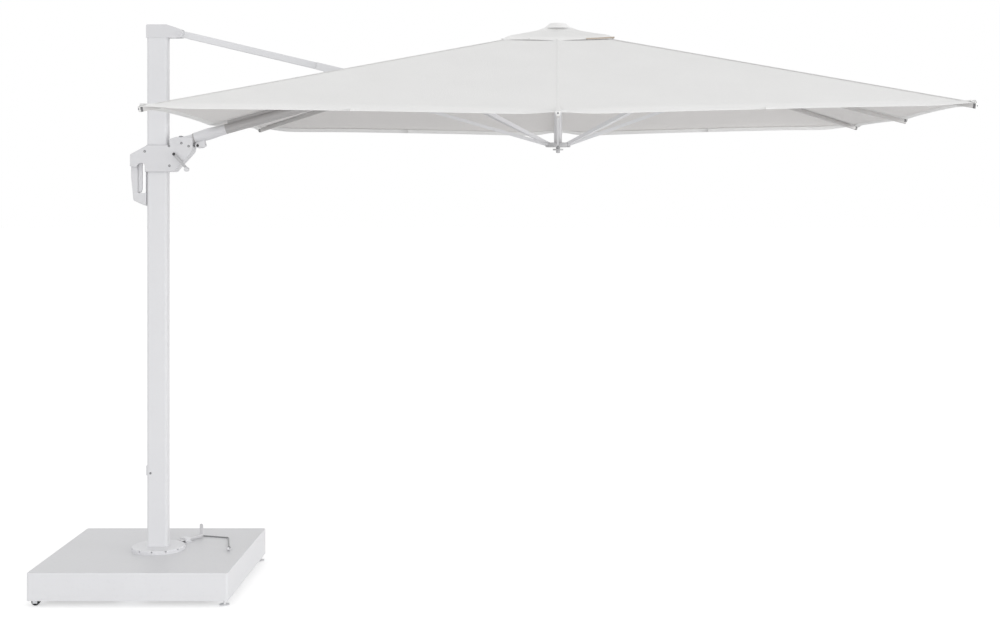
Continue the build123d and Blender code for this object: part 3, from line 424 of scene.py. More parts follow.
def ramp(tree, value, low, high, out_low=0.0, out_high=1.0):
    """A smooth step of value from low to high."""
    inputs = {"Value": value, "From Min": low, "From Max": high, "To Min": out_low, "To Max": out_high}
    return add_node(tree, "MapRange", inputs, interpolation_type="SMOOTHSTEP").outputs["Result"]


def noise(tree, vector, scale, detail):
    """Noise value at this scale."""
    return add_node(tree, "TexNoise", {"Vector": vector, "Scale": scale, "Detail": detail}).outputs["Fac"]


def scaled(tree, vector, scale):
    """A vector with each axis multiplied by its own number."""
    return add_node(tree, "VectorMath", {0: vector, 1: scale}, operation="MULTIPLY").outputs[0]


def tinted(tree, colour, factor, low, high):
    """The colour multiplied by a grey between low and high."""
    grey = add_node(tree, "MapRange", {"Value": factor, "To Min": low, "To Max": high}).outputs["Result"]
    return add_node(tree, "VectorMath", {0: colour, "Scale": grey}, operation="SCALE").outputs[0]


def around(tree, base, value, spread):
    """The base plus a 0 to 1 value's distance from its middle, times the spread."""
    return math(tree, "ADD", base, math(tree, "MULTIPLY", math(tree, "SUBTRACT", value, 0.5), spread))


SOCKETS = {1: "NodeSocketFloat", 3: "NodeSocketVector", 4: "NodeSocketColor"}


def group_with(name, inputs, outputs):
    """A new shader node group with named inputs, its input sockets, and a function that feeds its outputs.

    An input is a number, a vector or a colour by the size of its default. The output Colour is a colour.
    """
    group = bpy.data.node_groups.new(name, "ShaderNodeTree")
    for label, default in inputs.items():
        socket = group.interface.new_socket(label, in_out="INPUT", socket_type=SOCKETS[np.size(default)])
        socket.default_value = default
    for label in outputs:
        kind = SOCKETS[4 if label == "Colour" else 1]
        group.interface.new_socket(label, in_out="OUTPUT", socket_type=kind)
    start, end = group.nodes.new("NodeGroupInput"), group.nodes.new("NodeGroupOutput")

    def put_out(**values):
        for label, value in values.items():
            feed(group, end.inputs[label], value)
        return group

    return group, start.outputs, put_out


ORIGIN, PALE = (0, 0, 0), (0.8, 0.8, 0.8, 1)


def weave_group():
    """Plain weave in a UV map in metres: threads over and under by turns, slubs and slow shade changes."""
    group, given, put_out = group_with(
        "plain_weave", {"UV": ORIGIN, "Thread": 0.0006, "Colour": PALE}, ("Colour", "Height", "Roughness"))
    split = add_node(group, "SeparateXYZ", {0: given["UV"]})
    count = math(group, "DIVIDE", pi, given["Thread"])
    warp = math(group, "SINE", math(group, "MULTIPLY", split.outputs["X"], count))
    weft = math(group, "SINE", math(group, "MULTIPLY", split.outputs["Y"], count))
    warp_over = math(group, "GREATER_THAN", math(group, "MULTIPLY", warp, weft), 0.0)
    warp_ridge = math(group, "MULTIPLY", math(group, "ABSOLUTE", warp), warp_over)
    weft_over = math(group, "SUBTRACT", 1.0, warp_over)
    weft_ridge = math(group, "MULTIPLY", math(group, "ABSOLUTE", weft), weft_over)
    high = math(group, "ADD", warp_ridge, weft_ridge)
    slub = noise(group, scaled(group, given["UV"], (1400, 22, 1)), 1.0, 1.0)
    cloud = noise(group, given["UV"], 3.0, 3.0)
    shade = math(group, "ADD", math(group, "MULTIPLY", slub, 0.35), math(group, "MULTIPLY", cloud, 0.65))
    colour = tinted(group, tinted(group, given["Colour"], shade, 0.95, 1.05), high, 0.965, 1.01)
    height = math(group, "ADD", math(group, "MULTIPLY", high, 0.8), math(group, "MULTIPLY", slub, 0.2))
    rough = math(group, "SUBTRACT", 0.93, math(group, "MULTIPLY", high, 0.1))
    return put_out(Colour=colour, Height=height, Roughness=rough)


def stitch_group():
    """Lockstitch rows: dashes along one coordinate, at a distance from a line, with a dip beside each row."""
    group, given, put_out = group_with(
        "lockstitch", {"Along": 0.0, "Away": 0.0, "Row": 0.005, "Pitch": 0.004, "Width": 0.0007},
        ("Thread", "Pucker"))
    off = math(group, "SUBTRACT", math(group, "ABSOLUTE", given["Away"]), given["Row"])
    off = math(group, "ABSOLUTE", off)
    turn = math(group, "DIVIDE", 2 * pi, given["Pitch"])
    wave = math(group, "SINE", math(group, "MULTIPLY", given["Along"], turn))
    near = math(group, "SUBTRACT", 1.0, math(group, "DIVIDE", off, given["Width"]), clamp=True)
    reach = math(group, "MULTIPLY", given["Width"], 4.0)
    wide = math(group, "SUBTRACT", 1.0, math(group, "DIVIDE", off, reach), clamp=True)
    return put_out(Thread=math(group, "MULTIPLY", near, ramp(group, wave, -0.75, -0.45)), Pucker=wide)


def coat_group():
    """Powder coat: orange peel, worn flecks and slow gloss changes, on object coordinates."""
    group, given, put_out = group_with(
        "powder_coat", {"Position": ORIGIN, "Colour": PALE, "Peel": 420.0, "Gloss": 0.42, "Wear": 0.3},
        ("Colour", "Roughness", "Height"))
    peel = noise(group, given["Position"], given["Peel"], 1.5)
    cloud = noise(group, given["Position"], 5.0, 3.0)
    fleck = noise(group, given["Position"], 60.0, 2.0)
    worn = math(group, "MULTIPLY", ramp(group, fleck, 0.56, 0.74), given["Wear"])
    colour = tinted(group, given["Colour"], cloud, 0.975, 1.025)
    colour = tinted(group, colour, math(group, "SUBTRACT", 1.0, worn), 0.93, 1.0)
    gloss = around(group, given["Gloss"], cloud, 0.16)
    rough = math(group, "ADD", gloss, math(group, "MULTIPLY", worn, 0.15))
    return put_out(Colour=colour, Roughness=rough, Height=peel)


def brush_group():
    """Drawn or turned metal: fine scratches along one axis of the object, and dull spots."""
    group, given, put_out = group_with(
        "drawn_metal", {"Position": ORIGIN, "Colour": (0.5, 0.5, 0.5, 1), "Roughness": 0.38},
        ("Colour", "Roughness", "Height"))
    scratch = noise(group, scaled(group, given["Position"], (900, 900, 25)), 1.0, 2.0)
    spot = noise(group, given["Position"], 90.0, 3.0)
    colour = tinted(group, given["Colour"], spot, 0.88, 1.08)
    rough = around(group, given["Roughness"], scratch, 0.3)
    return put_out(Colour=colour, Roughness=rough, Height=scratch)


GROUPS = {}


def group_node(tree, make, inputs):
    """A node of this maker's group, which is built once, with its inputs fed."""
    if make.__name__ not in GROUPS:
        GROUPS[make.__name__] = make()
    node = tree.nodes.new("ShaderNodeGroup")
    node.node_tree = GROUPS[make.__name__]
    for label, value in inputs.items():
        feed(tree, node.inputs[label], value)
    return node.outputs


# ---------------------------------------------------------------- materials
def new_material(name):
    """A material with only a Principled BSDF and its output."""
    surface = bpy.data.materials.new(name)
    surface.use_nodes = True
    return surface, surface.node_tree, surface.node_tree.nodes["Principled BSDF"]


def covered(tree, shader, colour, rough, height, strength, depth):
    """Feeds a shader's colour, roughness and bump."""
    bump = add_node(tree, "Bump", {"Strength": strength, "Distance": depth, "Height": height})
    feed(tree, shader.inputs["Base Color"], colour)
    feed(tree, shader.inputs["Roughness"], rough)
    feed(tree, shader.inputs["Normal"], bump.outputs["Normal"])


def finish(name, make, values, strength, depth):
    """A material whose colour, roughness and bump come from a group that reads Object coordinates."""
    surface, tree, shader = new_material(name)
    place = add_node(tree, "TexCoord").outputs["Object"]
    out = group_node(tree, make, {"Position": place, **values})
    covered(tree, shader, out["Colour"], out["Roughness"], out["Height"], strength, depth)
    return surface


def coated(name, colour, gloss, peel, wear, depth):
    """Powder-coated or moulded finish."""
    values = {"Colour": (*colour, 1), "Gloss": gloss, "Peel": peel, "Wear": wear}
    return finish(name, coat_group, values, 0.35, depth)


def shade_upward_faces(surface, share):
    """Darkens the upward faces of a finish by a share: painted shade for tops that get less light than the
    sides.
    """
    tree = surface.node_tree
    colour = tree.nodes["Principled BSDF"].inputs["Base Color"]
    normal = add_node(tree, "NewGeometry").outputs["Normal"]
    facing = ramp(tree, add_node(tree, "SeparateXYZ", {0: normal}).outputs["Z"], 0.6, 0.97)
    feed(tree, colour, tinted(tree, colour.links[0].from_socket, facing, 1.0, 1.0 - share))
    return surface


def metal(name, colour, roughness):
    """Bare or plated metal."""
    surface = finish(name, brush_group, {"Colour": (*colour, 1), "Roughness": roughness}, 0.25, 0.00005)
    surface.node_tree.nodes["Principled BSDF"].inputs["Metallic"].default_value = 1.0
    return surface


def woven(name, colour, across=0.0006, row=None, thread=None):
    """Cloth, with a row of stitches on each side of a strip's middle if row is given.

    The UV map "cloth" runs in metres: on a strip, across it and then along it. The argument across is one
    thread's width.
    """
    surface, tree, shader = new_material(name)
    uv = add_node(tree, "UVMap", uv_map="cloth").outputs["UV"]
    out = group_node(tree, weave_group, {"UV": uv, "Thread": across, "Colour": (*colour, 1)})
    shade, height = out["Colour"], out["Height"]
    if row:
        split = add_node(tree, "SeparateXYZ", {0: uv}).outputs
        stitch = group_node(tree, stitch_group, {"Along": split["Y"], "Away": split["X"], "Row": row})
        mixed = {"Factor": stitch["Thread"], 6: shade, 7: (*thread, 1)}  # 6 and 7 are the two colours
        shade = add_node(tree, "Mix", mixed, data_type="RGBA").outputs[2]
        low = math(tree, "MULTIPLY", stitch["Pucker"], -2.0)
        raised = math(tree, "MULTIPLY", stitch["Thread"], 3.0)
        height = math(tree, "ADD", height, math(tree, "ADD", low, raised))
    covered(tree, shader, shade, out["Roughness"], height, 0.5, 0.00025)
    shader.inputs["Sheen Weight"].default_value = 0.12
    shader.inputs["Sheen Roughness"].default_value = 0.5
    shader.inputs["Specular IOR Level"].default_value = 0.25
    return surface


# Coated and moulded finishes: colour (or the name of one in FinishColours), gloss, scale of the orange peel,
# wear, and depth of the bump in metres.
COATED = {
    "powder_coat_white": ("powder", 0.38, 380.0, 0.25, 0.00015),
    # the base cover's powder, which new_finish raises as painted light and darkens on top as painted shade
    "base_coat": ("powder", 0.38, 380.0, 0.25, 0.00015),
    "powder_coat_tube": ("powder", 0.36, 420.0, 0.12, 0.0001),
    # painted shade: grey on the white boom, rail, cradle and head
    "boom_coat": ("boom", 0.4, 420.0, 0.12, 0.0001),
    "moulded_white": ("moulding", 0.44, 900.0, 0.15, 0.00006),
    "moulded_grip": ("moulding", 0.5, 1400.0, 0.1, 0.00012),
    "moulded_grey": ((0.27, 0.275, 0.285), 0.5, 900.0, 0.3, 0.00008),
    "finial_white": ("cloth", 0.46, 900.0, 0.1, 0.00006),
    "trigger_grey": ((0.80, 0.80, 0.815), 0.48, 900.0, 0.2, 0.00006),
    "runner_grey": ((0.52, 0.52, 0.53), 0.46, 900.0, 0.2, 0.00006),
    # painted shade: the ribs, white like the struts, are coloured mid grey for the shade under the canopy
    "rib_coat": ((0.56, 0.55, 0.545), 0.38, 420.0, 0.12, 0.0001),
    "foot_grey": ((0.80, 0.80, 0.81), 0.55, 700.0, 0.5, 0.00008),
    "black_tyre": ((0.018, 0.018, 0.019), 0.72, 600.0, 0.8, 0.0002),
    "black_coat": ((0.25, 0.255, 0.26), 0.38, 500.0, 0.4, 0.00008),
    "crank_coat": ((0.46, 0.46, 0.47), 0.35, 500.0, 0.3, 0.00008),
    "concrete": ((0.42, 0.41, 0.39), 0.85, 260.0, 1.0, 0.0012),
    "screw_black": ((0.03, 0.03, 0.032), 0.32, 900.0, 0.3, 0.00005),
    "screw_grey": ((0.20, 0.205, 0.21), 0.35, 900.0, 0.3, 0.00005),
    "plug_grey": ((0.13, 0.13, 0.135), 0.45, 900.0, 0.3, 0.00005),
    "lock_grey": ((0.66, 0.66, 0.67), 0.42, 500.0, 0.3, 0.00008),
}
# Cloths: name of the colour, width of one thread, and distance of the stitches from a strip's middle.
CLOTHS = {
    "cloth_main": ("cloth", 0.0006, None),
    "cloth_lining": ("lining", 0.0006, None),
    "cloth_tape": ("cloth", 0.0011, None),
    "cloth_binding": ("binding", 0.0009, None),
    "cloth_seam": ("cloth", 0.0006, 0.0042),
    "cloth_hem": ("cloth", 0.0006, 0.0095),
}
ZINC, ZINC_ROUGHNESS = (0.62, 0.63, 0.65), 0.36
BASE_LIGHT_LIFT, BASE_TOP_SHADE = 1.045, 0.13  # the base cover's colour over the other steel's, raised as painted light, and the share of painted shade on its top
MATERIALS = {}


def material(name):
    """A finish by name, made the first time it is asked for."""
    if name not in MATERIALS:
        MATERIALS[name] = new_finish(name)
    return MATERIALS[name]


def new_finish(name):
    """A finish from the lists above."""
    colours = bpy.context.scene.parasol_colours
    if name == "zinc":
        return metal(name, ZINC, ZINC_ROUGHNESS)
    if name in CLOTHS:
        colour, across, row = CLOTHS[name]
        return woven(name, getattr(colours, colour), across, row, colours.thread)
    colour, *rest = COATED[name]
    colour = getattr(colours, colour) if isinstance(colour, str) else colour
    # painted light: the base cover's powder is raised, and its upward faces get painted shade
    if name == "base_coat":
        return shade_upward_faces(coated(name, [c * BASE_LIGHT_LIFT for c in colour], *rest), BASE_TOP_SHADE)
    return coated(name, colour, *rest)


# ---------------------------------------------------------------- the canopy's surface
def chord(panel, w):
    """Plan points from the hub on a panel's edge line, from its first tip (w = 0) to its second (w = 1)."""
    first, second = TIPS[panel, :2] - HUB, TIPS[(panel + 1) % 8, :2] - HUB
    w = np.asarray(w, float)[..., None]
    return first * (1 - w) + second * w


def hem_plan(panel, w, scallop):
    """The edge line drawn inwards by a parabola whose depth goes with the side's length."""
    side = chord(panel, 1.0) - chord(panel, 0.0)
    across = np.array([side[1], -side[0]]) / np.linalg.norm(side)
    depth = scallop * np.linalg.norm(side) / HALF[0]
    w = np.asarray(w, float)
    return chord(panel, w) - across * (depth * 4 * w * (1 - w))[..., None]


def drape(plan, sizes):
    """Height of the cloth over plan points measured from the hub.

    Each panel is the plane through the apex and two tips, a * first + b * second, lowered by
    sag * 4w(1 - w) * v(2 - 1.25v) with v = a + b and w = b / v. Within HEM_DROP of the hem it falls by
    hem_fall * (1 - distance / HEM_DROP) ** 2, with rear_fall added towards the rear side, less where a rib
    holds it up and on the two short sides.
    """
    plan = np.asarray(plan, float)
    angle = np.arctan2(plan[..., 1], plan[..., 0]) % (2 * pi)
    panel = np.searchsorted(AZIMUTH, angle + 1e-9, side="right") - 1
    first, second = TIPS[panel] - APEX, TIPS[(panel + 1) % 8] - APEX
    size = first[..., 0] * second[..., 1] - first[..., 1] * second[..., 0]
    a = (plan[..., 0] * second[..., 1] - plan[..., 1] * second[..., 0]) / size
    b = (first[..., 0] * plan[..., 1] - first[..., 1] * plan[..., 0]) / size
    v = np.clip(a + b, 1e-6, None)
    w = np.clip(b / v, 0, 1)
    dip = sizes.sag * 4 * w * (1 - w) * v * (2 - 1.25 * v)
    side = np.linalg.norm((second - first)[..., :2], axis=-1)
    reach = size / side
    hem = 1 - 4 * w * (1 - w) * sizes.scallop * side / HALF[0] / reach
    from_hem = np.clip((hem - v) * reach, 0, None)
    from_rib = np.minimum(w, 1 - w) * side * v
    rear = np.clip(plan[..., 1] / HALF[1], 0, 1)
    fall = (sizes.hem_fall + sizes.rear_fall * rear) * np.clip(1 - from_hem / HEM_DROP, 0, 1) ** 2
    fall *= 1 - np.exp(-((from_rib / RIB_HOLD) ** 2))
    x, y = np.abs(plan[..., 0]) / HALF[0], np.abs(plan[..., 1]) / HALF[1]
    fall *= 1 - SHORT_SIDE_HOLD * np.clip((x - y) / 0.2, 0, 1)
    return APEX_Z + a * first[..., 2] + b * second[..., 2] - dip - fall


def roof(plan, sizes):
    """Height of the vent cap: the main cloth's height plus a lift that rounds off to nothing at the edge.

    With s the distance from the middle as a share of the cap's half size and d = CAP_ROUND, the lift is
    cap_lift * (1 - clip((s - d) / (1 - d), 0, 1) ** 2) + cap_gap, and the edge on the far side from the
    mast curls up by cap_curl. A collar round the middle rises to meet the finial.
    """
    ratio = np.max(np.abs(plan) / CAP_HALF, axis=-1)
    outer = np.clip((ratio - CAP_ROUND) / (1 - CAP_ROUND), 0, 1)
    lift = sizes.cap_lift * (1 - outer**2) + sizes.cap_gap
    far = np.clip((plan[..., 0] / CAP_HALF[0] - CAP_CURL_START) / (1 - CAP_CURL_START), 0, 1)
    curl = sizes.cap_curl * far**2
    collar = COLLAR * np.clip(1.3 - ratio / 0.3, 0, 1)
    return drape(plan, sizes) + lift + curl + collar


def placed(plan, height):
    """Points in the row frame from plan points measured from the hub and their heights."""
    return np.concatenate([plan + HUB, height[..., None]], -1)


def half_edge(rib, side, columns):
    """The panel on a rib's side, and places along its edge line from the rib's tip to the middle."""
    c = np.linspace(0, 0.5, columns + 1)
    return panel_beside(rib, side), (c if side > 0 else 1 - c)


def opening(line, half):
    """Where the rays from the hub through plan points meet a rectangle with these half sizes."""
    return line * np.min(np.asarray(half) / np.maximum(np.abs(line), 1e-9), axis=1)[:, None]


def half_gore(rib, side, sizes, inner, outer, rows, columns):
    """Plan of one half of a gore: rows from the inner edge to the hem, columns from the rib outwards.

    A point is inner + (outer - inner) * r, and the hem's curve fades in with r ** 4.
    """
    panel, w = half_edge(rib, side, columns)
    line = chord(panel, w) * outer
    curve = hem_plan(panel, w, sizes.scallop) * outer - line
    start = opening(line, inner)
    r = np.asarray(rows)[:, None, None]
    return start + (line - start) * r + curve * r**4


def cloth_uv(points, panel):
    """Coordinates in metres in the panel's plane: along its edge line and square to it."""
    first, second = TIPS[panel], TIPS[(panel + 1) % 8]
    e = unit(second - first)
    n = unit(np.cross(e, APEX - first))
    f = np.cross(n, e)
    return np.stack([(points - first) @ e, (points - first) @ f], -1)


def laid(points, faces):
    """A grid as (points, faces, area), with its faces turned so that they look up."""
    points = points.reshape(-1, 3)
    corners = points[faces]
    normals = np.cross(corners[:, 2] - corners[:, 0], corners[:, 3] - corners[:, 1])
    upward = normals[:, 2].sum() > 0
    return points, (faces if upward else faces[:, ::-1]), np.linalg.norm(normals, axis=1).sum() / 2


def slot_rows(sizes, rows):
    """Row positions of the boom's gore, with two of them on the ends of the arm's slot."""
    knee = HUB[0] - KNEE[0] - sizes.vent_length
    length = HALF[0] - sizes.vent_length
    ends = [(knee - sizes.slot_length) / length, (knee + sizes.slot_length) / length]
    r = np.linspace(0, 1, rows + 1)
    for end in ends:
        r[np.abs(r - end).argmin()] = end
    return r, ends


def gore(rib, sizes):
    """One main gore: two half grids that meet over the rib; the boom's gore has the slot for the arm."""
    rows, columns = sizes.rows, sizes.columns
    r, ends = np.linspace(0, 1, rows + 1), None
    if rib == "boom":
        r, ends = slot_rows(sizes, rows)
    parts, uvs, total = [], [], 0.0
    for side in (-1, 1):
        plan = half_gore(rib, side, sizes, (sizes.vent_length, sizes.vent_width), 1.0, r, columns)
        faces = grid_faces(rows + 1, columns + 1)
        if ends:
            # The first columns follow the slot's side, and the others share the width that is left.
            wide = plan[:, -1:, 1]
            share = np.clip(np.arange(columns + 1) / SLOT_COLUMNS, 0, 1)
            rest = np.clip((np.arange(columns + 1) - SLOT_COLUMNS) / (columns - SLOT_COLUMNS), 0, 1)
            narrow = np.sign(wide) * sizes.slot_width * np.clip(-plan[:, :1, 0] / 0.5, 0, 1)
            plan[..., 1] = narrow * share + (wide - narrow) * rest
            row = np.isin(r, ends)
            square = sizes.vent_length + (HALF[0] - sizes.vent_length) * r[row, None]
            plan[row, : SLOT_COLUMNS + 1, 0] = -square
            row, column = faces[:, 0] // (columns + 1), faces[:, 0] % (columns + 1)
            first, last = (int(np.abs(r - end).argmin()) for end in ends)
            faces = faces[~((row >= first) & (row < last) & (column < SLOT_COLUMNS))]
        points, faces, area = laid(placed(plan, drape(plan, sizes)), faces)
        parts.append((points, faces))
        uvs.append(cloth_uv(points, panel_beside(rib, side)))
        total += area
    return *merged(parts), np.concatenate(uvs), total


def cap_gore(rib, sizes, ratio):
    """One gore of the vent cap: two half grids between the hole under the finial and the cap's edge."""
    parts, uvs, total = [], [], 0.0
    for side in (-1, 1):
        plan = half_gore(rib, side, sizes, CAP_HOLE, ratio, np.linspace(0, 1, CAP_ROWS + 1), CAP_COLUMNS)
        points, faces, area = laid(placed(plan, roof(plan, sizes)), grid_faces(CAP_ROWS + 1, CAP_COLUMNS + 1))
        parts.append((points, faces))
        uvs.append(cloth_uv(points, panel_beside(rib, side)))
        total += area
    return *merged(parts), np.concatenate(uvs), total


def hem_path(rib, side, sizes, columns, height, inset, ratio=1.0, inner=None):
    """Path, across and up directions of a half hem, or of half of an opening's edge when inner is given."""
    panel, w = half_edge(rib, side, columns)
    if inner is None:
        plan = hem_plan(panel, w, sizes.scallop) * ratio
    else:
        plan = opening(chord(panel, w), inner)
    edge = placed(plan, height(plan, sizes))
    nearer = plan * 0.96
    back = placed(nearer, height(nearer, sizes))
    inward = unit(back - edge) * (1 if inner is None else -1)
    along = unit(np.gradient(edge, axis=0))
    up = unit(np.cross(along, inward))
    up *= np.sign(up[:, 2:])
    square = np.cross(up, along)
    inward = unit(square) * np.sign((square * inward).sum(1))[:, None]
    return edge + inward * inset - up * sizes.cloth / 2, inward, up


def strip_uv(profile, path):
    """UV in metres of a carried profile: across it and along its path."""
    length = np.concatenate([[0], np.cumsum(np.linalg.norm(np.diff(path, axis=0), axis=1))])
    u = np.broadcast_to(np.asarray(profile)[None, :, 0], (len(path), len(profile)))
    v = np.broadcast_to(length[:, None], u.shape)
    return np.stack([u, v], -1).reshape(-1, 2)


def sewn(name, runs, section, body, finish):
    """A strip of cloth with this section (width, thickness, corner) on each (path, across, up) run."""
    profile = rounded_bar(*section)
    parts = [carried(profile, *run) for run in runs]
    uv = np.concatenate([strip_uv(profile, run[0]) for run in runs])
    return finish_piece(make_piece(name, *merged(parts), uv=uv), body, material(finish))


def solidify(obj, thickness):
    """Cloth thickness below the modelled face; its open edges stay sharp."""
    mesh = obj.data
    used = np.empty(len(mesh.loops), np.int32)
    mesh.loops.foreach_get("edge_index", used)
    alone = np.bincount(used, minlength=len(mesh.edges)) == 1
    mesh.attributes.new("sharp_edge", "BOOLEAN", "EDGE").data.foreach_set("value", alone)
    modifier = obj.modifiers.new("cloth", "SOLIDIFY")
    modifier.thickness = thickness
    modifier.offset = -1
    return obj


def gather(obj):
    """Gives a gore's piece its own copy of its mesh."""
    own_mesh(obj)


def half_width(rib, ratio=1.0):
    """Greatest distance of a gore's edge from its rib's plane."""
    across = across_of(rib)[:2]
    return float(max(abs(chord(panel_beside(rib, side), 0.5) @ across) for side in (1, -1)) * ratio)


def rib_line(rib, start, end, sizes, count=40):
    """Path on the cloth over a rib between two plan distances from the hub, with across and up directions."""
    plan = ray_of(rib) * np.linspace(start, end, count)[:, None]
    path = placed(plan, drape(plan, sizes))
    across = across_of(rib)
    up = unit(np.cross(unit(path[-1] - path[0]), across))
    return path, across, up * np.sign(up[2])


def tip_distance(rib):
    """Plan distance of a tip from the hub."""
    return float(np.linalg.norm(TIPS[RIBS.index(rib), :2] - HUB))


def vent_distance(rib, sizes):
    """Plan distance of the vent opening's edge from the hub, along a rib."""
    return float(np.linalg.norm(opening(ray_of(rib)[None], (sizes.vent_length, sizes.vent_width))))


def rib_end(rib):
    """Outer end of a rib's centreline."""
    points = vertices("rib_" + rib)
    reach = (points[:, :2] - HUB) @ ray_of(rib)
    return points[reach > reach.max() - 0.004].mean(0)


# ---------------------------------------------------------------- operators
class PieceOperator:
    """What every operator of this add-on shares"""

    bl_options = {"REGISTER", "UNDO"}


class PARASOL_OT_main_canopy(PieceOperator, bpy.types.Operator):
    """Eight gores of the main canopy with their hems, felled seams and webbing"""

    bl_idname = "parasol.main_canopy"
    bl_label = "Main canopy"

    def execute(self, context):
        sizes = context.scene.parasol_canopy
        for rib in RIBS:
            points, faces, uv, area = gore(rib, sizes)
            cloth = solidify(make_piece("gore_" + rib, points, faces, uv=uv), sizes.cloth)
            body, wide = body_of(rib), half_width(rib)
            finish_piece(cloth, body, material("cloth_main"), ("canopy",))
            # the inner side of the cloth takes the underside's painted shade
            cloth.data.materials.append(material("cloth_lining"))
            cloth.modifiers["cloth"].material_offset = 1

            vent = (sizes.vent_length, sizes.vent_width)
            hem_section = (sizes.hem_width, sizes.hem_height, HEM_CORNER)
            outer_runs = [hem_path(rib, s, sizes, sizes.columns, drape, sizes.hem_width / 2) for s in (-1, 1)]
            inner_runs = [
                hem_path(rib, s, sizes, VENT_COLUMNS, drape, -VENT_INSET, inner=vent) for s in (-1, 1)]
            start, end = vent_distance(rib, sizes), tip_distance(rib) - TIP_SETBACK
            spans = [(start, end)]
            if rib == "boom":
                knee = HUB[0] - KNEE[0]
                spans = [(start, knee - sizes.slot_length), (knee + sizes.slot_length, end)]
            seam_runs = [rib_line(rib, low, high, sizes) for low, high in spans]
            tape_runs = [(path - up * TAPE_DROP, across, up) for path, across, up in seam_runs]
            trims = [
                sewn("hem_" + rib, outer_runs, hem_section, body, "cloth_hem"),
                sewn("vent_hem_" + rib, inner_runs, VENT_HEM, body, "cloth_tape"),
                sewn("seam_" + rib, seam_runs, (sizes.seam_width, *FLAT_TAPE), body, "cloth_seam"),
                sewn("webbing_" + rib, tape_runs, (sizes.tape_width, *FLAT_TAPE), body, "cloth_tape")]
            for piece in (cloth, *trims[:2]):
                gather(piece)
        return {"FINISHED"}


class PARASOL_OT_arm_slot(PieceOperator, bpy.types.Operator):
    """Bound edge of the slot that the upper arm passes through"""

    bl_idname = "parasol.arm_slot"
    bl_label = "Arm slot binding"

    def execute(self, context):
        sizes = context.scene.parasol_canopy
        knee = KNEE[0] - HUB[0]
        steps = 12
        x = np.linspace(knee - sizes.slot_length, knee + sizes.slot_length, steps)
        y = np.linspace(-sizes.slot_width, sizes.slot_width, steps)
        sides = ((x, y[:1]), (x[-1:], y), (x[::-1], y[-1:]), (x[:1], y[::-1]))
        plan = np.concatenate([np.stack(np.broadcast_arrays(*side), 1)[:-1] for side in sides])
        path = placed(plan, drape(plan, sizes))
        along = unit(np.roll(path, -1, 0) - np.roll(path, 1, 0))
        up = unit(np.cross(np.cross(along, [0, 0, 1.0]), along))
        across = np.cross(along, up)
        profile = rounded_bar(*SLOT_HEM)
        faces = [list(f) for f in grid_faces(len(path), len(profile), True, True)]
        points, faces = outward(swept(profile, path, across, up).reshape(-1, 3), faces)
        binding = make_piece("slot_binding", points, faces, uv=strip_uv(profile, path))
        finish_piece(binding, "boom", material("cloth_seam"))
        return {"FINISHED"}


class PARASOL_OT_vent_cap(PieceOperator, bpy.types.Operator):
    """Eight gores of the vent cap with their edge strips; the strips on the gores of the outer and
    outer_front ribs are brown as painted shade
    """

    bl_idname = "parasol.vent_cap"
    bl_label = "Vent cap"

    def execute(self, context):
        sizes = context.scene.parasol_canopy
        ratio = CAP_HALF[0] / HALF[0]
        for rib in RIBS:
            points, faces, uv, area = cap_gore(rib, sizes, ratio)
            cloth = solidify(make_piece("cap_gore_" + rib, points, faces, uv=uv), sizes.cloth)
            body, wide = body_of(rib), half_width(rib, ratio)
            finish_piece(cloth, body, material("cloth_main"), ("vent_cap",))
            runs = [hem_path(rib, s, sizes, CAP_COLUMNS, roof, CAP_HEM_INSET, ratio) for s in (-1, 1)]
            # the edges of the outer and outer_front gores take a brown as painted shade
            edge_cloth = "cloth_binding" if rib in ("outer", "outer_front") else "cloth_seam"
            hem = sewn("cap_hem_" + rib, runs, CAP_HEM, body, edge_cloth)
            for piece in (cloth, hem):
                gather(piece)
        return {"FINISHED"}


class PARASOL_OT_tip_pockets(PieceOperator, bpy.types.Operator):
    """Pockets at the ribs' ends with their flaps, screws and dark sleeves"""

    bl_idname = "parasol.tip_pockets"
    bl_label = "Tip pockets"

    def execute(self, context):
        sizes = context.scene.parasol_canopy
        for rib in RIBS:
            if rib == "boom":
                continue
            end = rib_end(rib)
            ahead = unit(end - np.array(JOINTS[f"rib_{rib}_hinge"]["pos_m"]))
            across = across_of(rib)
            up = unit(np.cross(ahead, across))
            up *= np.sign(up[2])
            self.pocket(rib, end + up * POCKET_RISE, ahead, across, up, sizes)
            self.sleeve(rib, end, ahead, across, up)
        return {"FINISHED"}

    def pocket(self, rib, end, ahead, across, up, sizes):
        """Doubled cloth over the rib's end, tapering inwards, with a flap over the end itself."""
        t = np.linspace(0, 1, 14)
        swell = 0.55 + 0.45 * t
        path = end + ahead * (0.002 - sizes.pocket * (1 - t))[:, None]
        profile = rounded_bar(*POCKET)
        top = carried(profile, path, across * swell[:, None], up)
        drop = end - up * (FLAP_DROP * t)[:, None] + ahead * (0.0028 + 0.001 * np.sin(pi * t))[:, None]
        flap = carried(rounded_bar(*FLAP), drop, across * (1 - 0.35 * t**3)[:, None], ahead)
        uv = np.concatenate([strip_uv(profile, path), strip_uv(profile, drop)])
        piece = make_piece("pocket_" + rib, *merged([top, flap]), uv=uv)
        finish_piece(piece, body_of(rib), material("cloth_seam"))
        head = [(0, 0.0), (0.0, 0.0042), (0.0014, 0.0042), (0.0022, 0.003), (0.0024, 0.0)]
        place = end - up * 0.009 + ahead * 0.0046
        fitting("tip_screw_" + rib, head, place, ahead, 16, body_of(rib), "screw_grey")

    def sleeve(self, rib, end, ahead, across, up):
        """Dark sleeve round the last of a rib's tube, behind the flap."""
        t = np.linspace(0, 1, 5)
        path = end - ahead * (0.010 - 0.008 * t)[:, None]
        band = carried(rounded_bar(*SLEEVE), path, across, up)
        piece = make_piece("rib_sleeve_" + rib, *band)
        finish_piece(piece, body_of(rib), material("plug_grey"))


